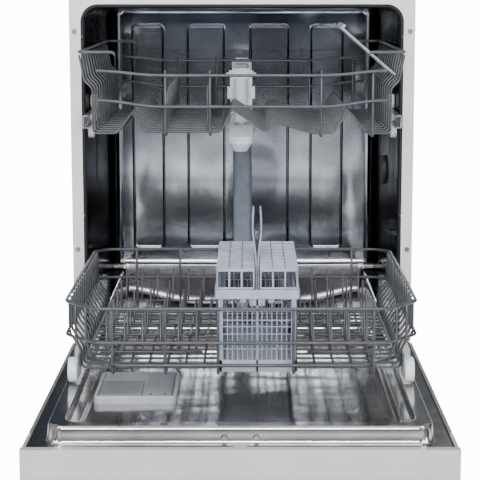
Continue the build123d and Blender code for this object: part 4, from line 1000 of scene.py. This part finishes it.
@dataclass
class CutleryBasket:
    """Cutlery basket: ribbed walls, solid band at foot and rim, forked handle and two slotted lids."""

    ledge: float = 378.0
    band: float = 14.0
    foot: float = 18.0
    inset: float = 3.0
    wall: float = 2.0
    rib: float = 1.3
    post: float = 7.5
    rungs: tuple = (345.0, 331.0, 321.0, 310.0, 297.0, 287.5)
    mesh: float = 8.3
    leaf_half: float = 1.7
    leaf_reach: float = 113.0
    neck_loss: float = 82.0
    grip_loss: float = 5.0
    lid_wall: float = 1.6
    lid_bar: float = 2.6
    lid_columns: int = 3
    lid_rows: int = 9
    low: Array = field(init=False)
    high: Array = field(init=False)

    def __post_init__(self) -> None:
        """Read the basket's box, in millimetres."""
        self.low, self.high = box_mm("cutlery_basket")

    def build(self) -> None:
        """Build the basket and its lids."""
        work = Moulding("cutlery_basket_ribbed")
        self.walls(work)
        self.floor(work)
        self.handle(work)
        work.place("cutlery_basket", "cutlery_basket", "cutlery", "cutlery_plastic")
        for hand in ("left", "right"):
            self.lid(hand)

    def walls(self, work: Moulding) -> None:
        """Rim band, foot band, corner posts and the fine lattice between them."""
        (x0, y0, z0), (x1, y1, _) = self.low, self.high
        middle_x, middle_y = (x0 + x1) / 2, (y0 + y1) / 2
        inset, wall, top, rib = self.inset, self.wall, self.ledge, self.rib
        rim_low, foot_top = top - self.band, z0 + self.foot
        for z_low, z_high, gap in ((rim_low, top, 0.0), (z0, foot_top, inset)):
            work.rib((x0 + gap, y0 + gap, z_low), (x1 - gap, y0 + gap + wall, z_high),
                     [(0, 0, 0), (0, y1 - y0 - 2 * gap - wall, 0)])
            work.rib((x0 + gap, y0 + gap, z_low), (x0 + gap + wall, y1 - gap, z_high),
                     [(0, 0, 0), (x1 - x0 - 2 * gap - wall, 0, 0)])
        ends = [(0, 0, 0), (0, y1 - y0 - 2 * inset - wall, 0)]
        sides = [(0, 0, 0), (x1 - x0 - 2 * inset - wall, 0, 0)]
        front, left, post = y0 + inset, x0 + inset, self.post
        for x, width in ((left, post), (x1 - inset - post, post), (middle_x - 1.7, 3.4)):
            work.rib((x, front, z0), (x + width, front + wall, rim_low + 1), ends)
        for y, width in ((front, post), (y1 - inset - post, post), (middle_y - 2, 4.0)):
            work.rib((left, y, z0), (left + wall, y + width, rim_low + 1), sides)
        for rung in self.rungs:
            work.rib((left, front, rung), (x1 - inset, front + rib, rung + rib), ends)
            work.rib((left, front, rung), (left + rib, y1 - inset, rung + rib), sides)
        # The fine uprights: every second one stops at the highest rung.
        for axis, count, step, walls in ((0, 15, 7.3, ends), (1, 29, 7.5, sides)):
            start = np.array([left, front, foot_top])
            start[axis] += post
            for parity, height in ((0, rim_low + 1), (1, self.rungs[0] + rib)):
                shifts = np.zeros((len(range(parity, count, 2)), 3))
                shifts[:, axis] = np.arange(parity, count, 2) * step
                end = (start[0] + rib, start[1] + rib, height)
                work.rib(start, end, (shifts[None] + np.array(walls)[:, None]).reshape(-1, 3))
        # The clasp under the rim, its two lugs, and the wall that parts the basket in two.
        work.rib((middle_x - 11, front, rim_low - 11), (middle_x + 11, front + wall, rim_low + 1), ends)
        work.rib((middle_x - 25, front, rim_low - 6), (middle_x - 17, front + wall, rim_low + 1),
                 [(shift, end[1], 0) for shift in (0, 42) for end in ends])
        work.rib((middle_x - 1.2, y0 + 4, z0), (middle_x + 1.2, y1 - 4, top))

    def floor(self, work: Moulding) -> None:
        """Crossed ribs under the cutlery."""
        inset, wall = self.inset + 1, self.wall
        x0, y0, z0 = self.low + np.array([inset, inset, 0])
        x1, y1, _ = self.high - np.array([inset, inset, 0])
        work.rib((x0, y0, z0), (x0 + wall, y1, z0 + wall),
                 [(x, 0, 0) for x in np.arange(0, x1 - x0 - wall, self.mesh)])
        work.rib((x0, y0, z0), (x1, y0 + wall, z0 + wall),
                 [(0, y, 0) for y in np.arange(0, y1 - y0 - wall, self.mesh)])

    def handle(self, work: Moulding) -> None:
        """Forked handle: two leaves that rise as one stem and part round the grip's opening.

        Each leaf is a stack of rounded outlines. Its middle moves sideways by a smooth step of the
        height, and its length shrinks from the basket's to the grip's.
        """
        top = self.high[2]
        middle_x, middle_y, _ = (self.low + self.high) / 2
        heights = np.concatenate([np.linspace(self.ledge - 4, 440, 22), np.linspace(444, top - 3, 14),
                                  top - 3 + 3 * np.sin(np.linspace(0.3, 1.57, 6))])
        reach = (self.leaf_reach - self.neck_loss * smooth_step(heights, self.ledge, 446)
                 - self.grip_loss * smooth_step(heights, 462, top))
        cap = np.sqrt(np.clip(1 - np.clip((heights - top + 3) / 3.02, 0, 1) ** 2, 0, 1))
        turn = np.linspace(0, 2 * np.pi, 32, endpoint=False)
        ring_x = np.sign(np.cos(turn)) * np.abs(np.cos(turn)) ** 0.5
        ring_y = np.sign(np.sin(turn)) * np.abs(np.sin(turn)) ** 0.5
        for side in (-1, 1):
            shift = side * (1.4 + 4.9 * smooth_step(heights, 408, 452)
                            - 0.9 * smooth_step(heights, 466, 482))
            x = middle_x + shift[:, None] + self.leaf_half * cap[:, None] * ring_x
            y = middle_y + (reach - 4 * (1 - cap))[:, None] * ring_y
            corners = np.stack([x, y, heights[:, None] + 0 * x], -1).reshape(-1, 3) * MM
            work.shell.take(corners, quads(len(heights), len(turn), wrap=True))

    def lid(self, hand: str) -> None:
        """A lid: windowed walls and a top of plates parted by narrow slots."""
        node = f"cutlery_lid_{hand}"
        (x0, y0, z0), (x1, y1, z1) = box_mm(node)
        work = Moulding(f"{node}_slotted")
        wall, bar, columns, rows = self.lid_wall, self.lid_bar, self.lid_columns, self.lid_rows
        ends, sides = [(0, 0, 0), (0, y1 - y0 - wall, 0)], [(0, 0, 0), (x1 - x0 - wall, 0, 0)]
        for z_low, z_high in ((z0, z0 + 3), (z1 - 4, z1 - 0.4)):
            work.rib((x0, y0, z_low), (x1, y0 + wall, z_high), ends)
            work.rib((x0, y0, z_low), (x0 + wall, y1, z_high), sides)
        # The bars between the walls' windows.
        step_x, step_y = (x1 - x0 - bar) / columns, (y1 - y0 - bar) / rows
        work.rib((x0, y0, z0), (x0 + bar, y0 + wall, z1 - 1),
                 [(n * step_x, end[1], 0) for n in range(columns + 1) for end in ends])
        work.rib((x0, y0, z0), (x0 + wall, y0 + bar, z1 - 1),
                 [(side[0], n * step_y, 0) for n in range(rows + 1) for side in sides])
        # The plates on top, and the crossed ribs that carry them.
        plate_x, plate_y = (x1 - x0) / columns, (y1 - y0) / rows
        work.rib((x0 + 0.7, y0 + 3.2, z1 - 1.6), (x0 + plate_x - 0.7, y0 + plate_y - 3.2, z1),
                 [(n * plate_x, m * plate_y, 0) for n in range(columns) for m in range(rows)])
        work.rib((x0, y0 + plate_y / 2 - 1, z1 - 3.4), (x1, y0 + plate_y / 2 + 1, z1 - 1.4),
                 [(0, m * plate_y, 0) for m in range(rows)])
        work.rib((x0 + plate_x / 2 - 1, y0, z1 - 3.6), (x0 + plate_x / 2 + 1, y1, z1 - 1.5),
                 [(n * plate_x, 0, 0) for n in range(columns)])
        work.place(node, node, "cutlery", "cutlery_plastic")


@dataclass
class DispenserLids:
    """The dispenser's sliding powder lid and hinged rinse aid lid, with open joints round them."""

    joint: float = 1.1
    skirt: float = 1.6
    grip: float = 9.0
    plate: float = 2.4
    grooves: int = 5
    groove_pitch: float = 9.0

    def build(self) -> None:
        """Build both lids: a skirt in front, a plate behind, and a lower grip or latch between them."""
        for node in ("detergent_lid", "rinse_aid_lid"):
            (x0, y0, z0), (x1, y1, z1) = box_mm(node)
            x0, x1, y0, y1 = x0 + self.joint, x1 - self.joint, y0 + self.joint, y1 - self.joint
            work = Moulding(f"{node}_plate")
            work.rib((x0, y0 + self.grip, z1 - self.plate), (x1, y1, z1))
            work.rib((x0, y0, z0), (x1, y0 + self.skirt, z1 - 1.2))
            if node == "detergent_lid":
                work.rib((x0, y0 + 1.2, z1 - 2.6), (x1, y0 + 9.4, z1 - 1.0))
                work.rib((x0 + 12, y0 + 2.5, z1 - 1.6), (x0 + 15, y0 + 8.2, z1 - 0.3),
                         [(self.groove_pitch * n, 0, 0) for n in range(self.grooves)])
            else:
                for left, right in ((x0, x0 + 9), (x0 + 11, x1 - 11), (x1 - 9, x1)):
                    work.rib((left, y0 + 1.2, z1 - 2.6), (right, y0 + 8.2, z1 - 0.4))
            work.place(node, node, "lid", "dispenser_plastic", 0.5)


@dataclass
class FeedDuctFittings:
    """Wings, collar and ears moulded on the duct that feeds the upper spray arm.

    Each row holds where the middle lies to the side, the two half widths, the foot and the top.
    """

    collar: tuple = ((0, 27, 9, 662, 665), (0, 22, 8, 665, 669), (0, 16, 8, 669, 674))
    ears: tuple = ((20, 5, 6, 618, 640), (16, 4, 3, 590, 662))

    def build(self) -> None:
        """Build them round the duct's upright."""
        low, high = box_mm("upper_spray_arm")
        x, y, _ = (low + high) / 2
        work = Moulding("upper_feed_duct_fittings")
        pairs = [(side * out, *rest) for side in (-1, 1) for out, *rest in self.ears]
        for out, half_x, half_y, foot, top in (*self.collar, *pairs):
            work.rib((x + out - half_x, y - half_y, foot), (x + out + half_x, y + half_y, top))
        work.place("upper_basket", None, "duct", "duct_plastic", 1.0)


# ---------------------------------------------------------------- baskets
@dataclass
class WireWork:
    """Bent and welded wire gathered into one piece."""

    name: str
    shell: Shell = field(default_factory=Shell)

    def bar(self, points: Sequence[Sequence[float]], diameter: float, bend: float = 8.0,
            shifts: Sequence[Sequence[float]] = ((0, 0, 0),), closed: bool = False) -> None:
        """Bend one wire and repeat it.

        Args:
            points: its corners in millimetres.
            diameter: its diameter in millimetres.
            bend: how far from a corner its curve starts, in millimetres.
            shifts: where each copy goes, in millimetres.
            closed: whether its last corner joins its first.
        """
        corners = np.array(points, float) * MM
        path = bent(corners, bend * MM, 4, closed) if len(corners) > 2 else corners
        form = tube(path, diameter / 2 * MM, 8, domed=not closed)
        self.shell.copies(*form, np.array(shifts, float) * MM)

    def place(self, body: str, node: str) -> None:
        """Finish the piece so that it rides on a body in place of a CAD node."""
        piece = self.shell.finish(self.name, "wire")
        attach(piece, body)
        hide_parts(node)


@dataclass
class Rack:
    """A rack of welded wire, whose depths count back from the front frame's face."""

    front: float
    rim_wire: float = 5.0
    main_wire: float = 4.5
    floor_wire: float = 4.0
    tine_wire: float = 3.5

    def deep(self, distance: float) -> float:
        """Y in millimetres of a depth behind the front frame's face."""
        return self.front / MM + distance


@dataclass
class LowerBasket(Rack):
    """Lower rack: rims with cut corners, side hoops, floor wires and rows of plate tines."""

    half: float = 264.0
    rim_heights: tuple = (351.0, 300.0)
    first: float = -433.0
    last: float = 52.0
    hoop_height: float = 251.0
    low_ring: float = 266.0
    main_xs: tuple = (-190.0, -112.0, -34.0, 78.0, 196.0)
    rim_over: float = 353.0
    corner_feet: tuple = ((-246.0, -411.0), (-230.0, -422.0), (246.0, -411.0), (230.0, -422.0))
    pitch: float = 27.5
    tine_start: float = -206.25
    right_start: float = 110.0
    tine_top: float = 322.0
    short_rows: tuple = (-352.0, -297.0, -242.0)
    full_rows: tuple = (-166.0, 14.0)
    fold_row: float = -80.0
    cutlery_span: tuple = (-42.5, 90.5)
    cutlery_end: float = -183.0

    def rim(self, height: float) -> list[tuple[float, float, float]]:
        """Corners of a rim at a height."""
        half, first, last = self.half, self.deep(self.first), self.deep(self.last)
        return [(-half + 51, first, height), (half - 51, first, height), (half, first + 54, height),
                (half, last - 24, height), (half - 24, last, height), (-half + 24, last, height),
                (-half, last - 24, height), (-half, first + 54, height)]

    def build(self) -> None:
        """Bend and weld the rack's wires."""
        work = WireWork("lower_basket_wires")
        first, last = self.deep(self.first), self.deep(self.last)
        for height in self.rim_heights:
            work.bar(self.rim(height), self.rim_wire, 12, closed=True)
        ring, over = self.low_ring, self.rim_over
        work.bar([(-233.5, last - 40, ring), (-233.5, first + 50, ring), (-185.5, first, ring),
                  (185.5, first, ring), (233.5, first + 50, ring), (233.5, last - 40, ring)],
                 self.rim_wire, 14)
        # Wires that run front to back under the floor and up over both ends.
        inside = (self.rim_wire + self.main_wire) / 2
        work.bar([(0, first + inside, over), (0, first + inside, self.hoop_height),
                  (0, last - inside, self.hoop_height), (0, last - inside, over)], self.main_wire, 9,
                 [(x, 0, 0) for x in self.main_xs])
        # Hoops that run across, under those, and up both sides.
        side = self.half - (self.rim_wire + self.floor_wire) / 2
        depths = np.linspace(self.first + 62, self.last - 22, 16)
        low = self.hoop_height - (self.main_wire + self.floor_wire) / 2
        work.bar([(-side, 0, over), (-side, 0, 300), (-242, 0, 275), (-242, 0, low), (242, 0, low),
                  (242, 0, 275), (side, 0, 300), (side, 0, over)], self.floor_wire, 7,
                 [(0, self.deep(y), 0) for y in depths])
        # Floor wires, which stop short of the cutlery basket.
        floor = ring - (self.rim_wire + self.floor_wire) / 2
        for x in np.arange(-7, 8) * self.pitch:
            start = self.cutlery_end if self.cutlery_span[0] < x < self.cutlery_span[1] else self.first
            work.bar([(x, self.deep(start), floor), (x, last - 8, floor)], self.floor_wire)
        for x, y in self.corner_feet:
            inward = math.copysign(12, x)
            work.bar([(x, self.deep(y) + 4, over - 1), (x, self.deep(y) + 4, 300),
                      (x - inward, self.deep(y) + 12, ring)], self.floor_wire, 6)
        self.tines(work)
        work.place("lower_basket", "lower_basket_frame")
        self.folding_tines(ring)

    def folding_tines(self, row: float) -> None:
        """The row of tines that folds down about its own cross wire, at the height of row."""
        fold = WireWork("lower_folding_tines_wires")
        here = self.deep(self.fold_row)
        xs = self.tine_start + np.arange(16) * self.pitch
        fold.bar([(xs[0] - 10, here, row), (xs[-1] + 10, here, row)], self.floor_wire)
        fold.bar([(0, here, row), (0, here, self.tine_top)], self.tine_wire,
                 shifts=[(x, 0, 0) for x in xs])
        fold.place("lower_folding_tines", "lower_folding_tines")

    def tines(self, work: WireWork) -> None:
        """Rows of upright tines that lean a little back, each row on its own cross wire."""
        row = self.low_ring - 0.5
        left = self.tine_start + np.arange(6) * self.pitch
        right = self.right_start + np.arange(4) * self.pitch
        full = self.tine_start + np.arange(16) * self.pitch
        rows = [(y, xs) for y in self.short_rows for xs in (left, right)]
        rows += [(y, full) for y in self.full_rows]
        for y, xs in rows:
            here = self.deep(y)
            work.bar([(xs[0] - 10, here, row), (xs[-1] + 10, here, row)], self.floor_wire)
            work.bar([(0, here, row), (0, here + 1, row + 8), (0, here + 12, self.tine_top)],
                     self.tine_wire, 5, [(x, 0, 0) for x in xs])


@dataclass
class UpperBasket(Rack):
    """Upper rack: hoops bent into cup rows, rims, top side rails and tines."""

    first: float = -155.0
    last: float = 321.0
    profile: tuple = ((-266, 709), (-258, 667), (-244.5, 654), (-244.5, 584), (-241, 580), (-205, 580),
                      (-180, 615), (-161, 582), (-35, 582), (-16, 620), (40, 582), (50, 600), (116, 580),
                      (150, 580), (176, 617), (205, 580), (241, 580), (244.5, 584), (244.5, 654),
                      (258, 667), (266, 709))
    hoops: int = 13
    hoop_wire: float = 3.4
    under_hoop: float = 4.25
    rail_height: float = 713.5
    rail_inner: float = 206.0
    rail_outer: float = 266.0
    rims: tuple = ((684.0, 682.0, 676.0), (636.0, 634.0, 625.0))
    main_xs: tuple = ((-125.0, 582.0), (-52.0, 582.0), (130.0, 580.0), (214.0, 580.0))
    bed: float = 586.0
    tine_top: float = 655.0
    tine_row: float = -131.0
    fold_row: float = -57.0

    def build(self) -> None:
        """Bend and weld the rack's wires."""
        work = WireWork("upper_basket_wires")
        first, last = self.deep(self.first), self.deep(self.last)
        depths = np.linspace(first + 16, last - 10, self.hoops)
        work.bar([(x, 0, z) for x, z in self.profile], self.hoop_wire, 6,
                 [(0, y, 0) for y in depths])
        top, inner, outer = self.rail_height, self.rail_inner, self.rail_outer
        for side in (-1, 1):
            work.bar([(side * inner, first + 5, 680), (side * inner, first + 5, top),
                      (side * outer, first + 10, top), (side * outer, last, top),
                      (side * inner, last + 2, top), (side * inner, last + 2, 680)], self.rim_wire, 8)
        # Both rims sag towards the middle: heights at the ends, at the bends and between the bends.
        for y in (first, last):
            for end, bend, middle in self.rims:
                work.bar([(-238, y, end), (-205, y, bend), (-150, y, middle), (150, y, middle),
                          (205, y, bend), (238, y, end)], self.rim_wire, 30)
        # Wires that run front to back under the hoops: where across, and how high the hoops are there.
        inside = (self.rim_wire + self.main_wire) / 2
        for x, hoop in self.main_xs:
            low = hoop - self.under_hoop
            work.bar([(x, first + inside, 685), (x, first + inside, low), (x, last - inside, low),
                      (x, last - inside, 685)], self.main_wire, 9)
        bed, row = self.bed, self.tine_row
        work.bar([(row, first + 20, bed), (row, last - 20, bed)], self.floor_wire)
        steps = (depths[1:] + depths[:-1]) / 2
        work.bar([(0, 0, bed), (1, 0, bed + 8), (10, 0, self.tine_top)], self.tine_wire, 5,
                 [(row, y, 0) for y in steps])
        work.place("upper_basket", "upper_basket_frame")
        fold = WireWork("upper_folding_tines_wires")
        row, low = self.fold_row, bed + 0.5
        fold.bar([(row, first + 20, low), (row, last - 20, low)], self.floor_wire)
        fold.bar([(0, 0, low), (0, 0, self.tine_top)], self.tine_wire,
                 shifts=[(row, y, 0) for y in steps])
        fold.place("upper_folding_tines", "upper_folding_tines")


# ---------------------------------------------------------------- studio
@dataclass
class Studio:
    """Pale floor, soft lights and the camera."""

    front: float
    floor_half: float = 9.0
    floor_glow: float = 0.25
    room_glow: float = 0.6
    backdrop_glow: float = 14.0
    lens: float = 108.56
    shift: tuple = (-0.0232, -0.1)
    eye_side: float = 12.9 * MM
    eye_back: float = 2511.3 * MM
    eye_height: float = 822.8 * MM
    look_down: float = 0.1425
    roll: float = -0.001

    def floor(self) -> None:
        """A plain pale floor that glows a little, so that it runs into the white background."""
        half = self.floor_half
        shell = Shell()
        shell.take(np.array([[-half, -half, 0], [half, -half, 0], [half, half, 0], [-half, half, 0]]),
                   np.array([[0, 1, 2, 3]]))
        material = Rough("pale_studio_floor", "#fbfbfb", "#f8f8f8", 400.0, 0.0, 0.8).build()
        tree = material.node_tree
        shader = tree.nodes["Principled BSDF"]
        shader.inputs["Emission Color"].default_value = linear("#ffffff")
        sight = add_node(tree, "ShaderNodeLightPath").outputs["Is Camera Ray"]
        level = add_node(tree, "ShaderNodeMapRange",
                         {"To Min": self.floor_glow, "To Max": self.backdrop_glow},
                         {"Value": sight})
        tree.links.new(level.outputs[0], shader.inputs["Emission Strength"])
        FINISHED["stage"] = material
        shell.finish("studio_floor", "stage")

    def card(self, name: str, colour: str, strength: float, low: tuple, high: tuple) -> None:
        """An upright card that only polished metal sees, like the dark wall of a light tent.

        Args:
            name: the card's name.
            colour: its hex colour.
            strength: how strongly it glows.
            low: its lower left corner.
            high: its upper right corner.
        """
        material = bpy.data.materials.new(name)
        material.use_nodes = True
        tree = material.node_tree
        tree.nodes.clear()
        place = add_node(tree, "ShaderNodeTexCoord").outputs["Object"]
        cloud = noise(tree, place, 420.0, 1.5, (1, 1, 2.5))
        tint = shade_between(tree, cloud, ((0.38, colour), (0.68, "#9fb0c4")))
        glow = add_node(tree, "ShaderNodeEmission", {"Strength": strength}, {"Color": tint})
        out = add_node(tree, "ShaderNodeOutputMaterial")
        tree.links.new(glow.outputs[0], out.inputs[0])
        FINISHED[name] = material
        shell = Shell()
        corners = np.array([[low[0], low[1], low[2]], [high[0], high[1], low[2]],
                            [high[0], high[1], high[2]], [low[0], low[1], high[2]]], float)
        shell.take(corners, np.array([[0, 1, 2, 3]]))
        piece = shell.finish(name, name)
        piece.visible_camera = piece.visible_diffuse = piece.visible_shadow = False

    def light(self, name: str, place: tuple, aim: tuple, size: tuple, power: float) -> None:
        """An area light aimed at a point.

        Args:
            name: the light's name.
            place: where it stands.
            aim: the point it faces.
            size: its width and height.
            power: its power in watts.
        """
        data = bpy.data.lights.new(name, "AREA")
        data.shape = "RECTANGLE"
        data.size, data.size_y = size
        data.energy = power
        lamp = bpy.data.objects.new(name, data)
        lamp.location = place
        lamp.rotation_euler = (Vector(aim) - Vector(place)).to_track_quat("-Z", "Y").to_euler()
        bpy.context.scene.collection.objects.link(lamp)

    def world(self) -> None:
        """A white room; polished steel sees it with soft grey bands."""
        world = bpy.data.worlds.new("studio")
        bpy.context.scene.world = world
        world.use_nodes = True
        tree = world.node_tree
        tree.nodes.clear()
        way = add_node(tree, "ShaderNodeTexCoord").outputs["Generated"]
        stretched = add_node(tree, "ShaderNodeMapping", {"Scale": (3.0, 3.0, 0.7)}, {"Vector": way})
        pattern = add_node(tree, "ShaderNodeTexNoise", {"Scale": 1.6, "Detail": 1.0},
                           {"Vector": stretched.outputs[0]})
        bands = shade_between(tree, pattern.outputs["Fac"],
                              ((0.36, "#3a4656"), (0.45, "#8c9096"), (0.55, "#ffffff")))
        path = add_node(tree, "ShaderNodeLightPath")
        seen = add_node(tree, "ShaderNodeMix", {"data_type": "RGBA", MIX_FIRST: linear("#ffffff")},
                        {0: path.outputs["Is Glossy Ray"], MIX_SECOND: bands})
        level = add_node(tree, "ShaderNodeMapRange",
                         {"To Min": self.room_glow, "To Max": self.backdrop_glow},
                         {"Value": path.outputs["Is Camera Ray"]})
        glow = add_node(tree, "ShaderNodeBackground",
                        links={"Color": seen.outputs[MIX_RESULT], "Strength": level.outputs[0]})
        out = add_node(tree, "ShaderNodeOutputWorld")
        tree.links.new(glow.outputs[0], out.inputs[0])

    def camera(self) -> None:
        """The viewing angle: from in front, a little above the top, looking slightly down."""
        data = bpy.data.cameras.new("view")
        data.lens, data.sensor_width = self.lens, 36.0
        data.shift_x, data.shift_y = self.shift
        data.clip_end = 50
        eye = bpy.data.objects.new("view", data)
        eye.location = (self.eye_side, self.front - self.eye_back, self.eye_height)
        eye.rotation_euler = (math.pi / 2 - self.look_down, 0, self.roll)
        bpy.context.scene.collection.objects.link(eye)
        bpy.context.scene.camera = eye

    def build(self) -> None:
        """Set the studio up."""
        front = self.front
        self.floor()
        self.world()
        self.light("key", (-1.5, front - 2.4, 2.3), (0, front, 0.4), (1.6, 1.6), 60)
        self.light("fill", (1.7, front - 2.0, 1.5), (0, front, 0.4), (1.2, 1.6), 35)
        self.light("overhead", (0, front - 0.5, 2.9), (0, front - 0.2, 0.3), (2.2, 1.6), 45)
        self.light("front", (0, front - 3.0, 1.25), (0, front + 0.5, 0.45), (1.5, 0.5), 60)
        self.card("dark_card", "#081226", 0.35, (-1.3, front - 3.1, 0.2), (1.3, front - 3.1, 0.84))
        self.camera()


def main() -> None:
    """Build every piece in order."""
    logging.basicConfig(level=logging.INFO, format="%(message)s")
    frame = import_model()
    for key, finish in FINISHES.items():
        FINISHED[key] = finish.build()
    places = Places.read()
    dress_cad(frame)
    Tub(places).build()
    DoorLiner(places).build()
    for end in ("front", "rear"):
        Wheel(f"lower_wheels_{end}", f"lower_wheels_{end}").build()
    CutleryBasket().build()
    DispenserLids().build()
    FeedDuctFittings().build()
    LowerBasket(places.front).build()
    UpperBasket(places.front).build()
    Studio(places.front).build()


if __name__ == "__main__":
    main()
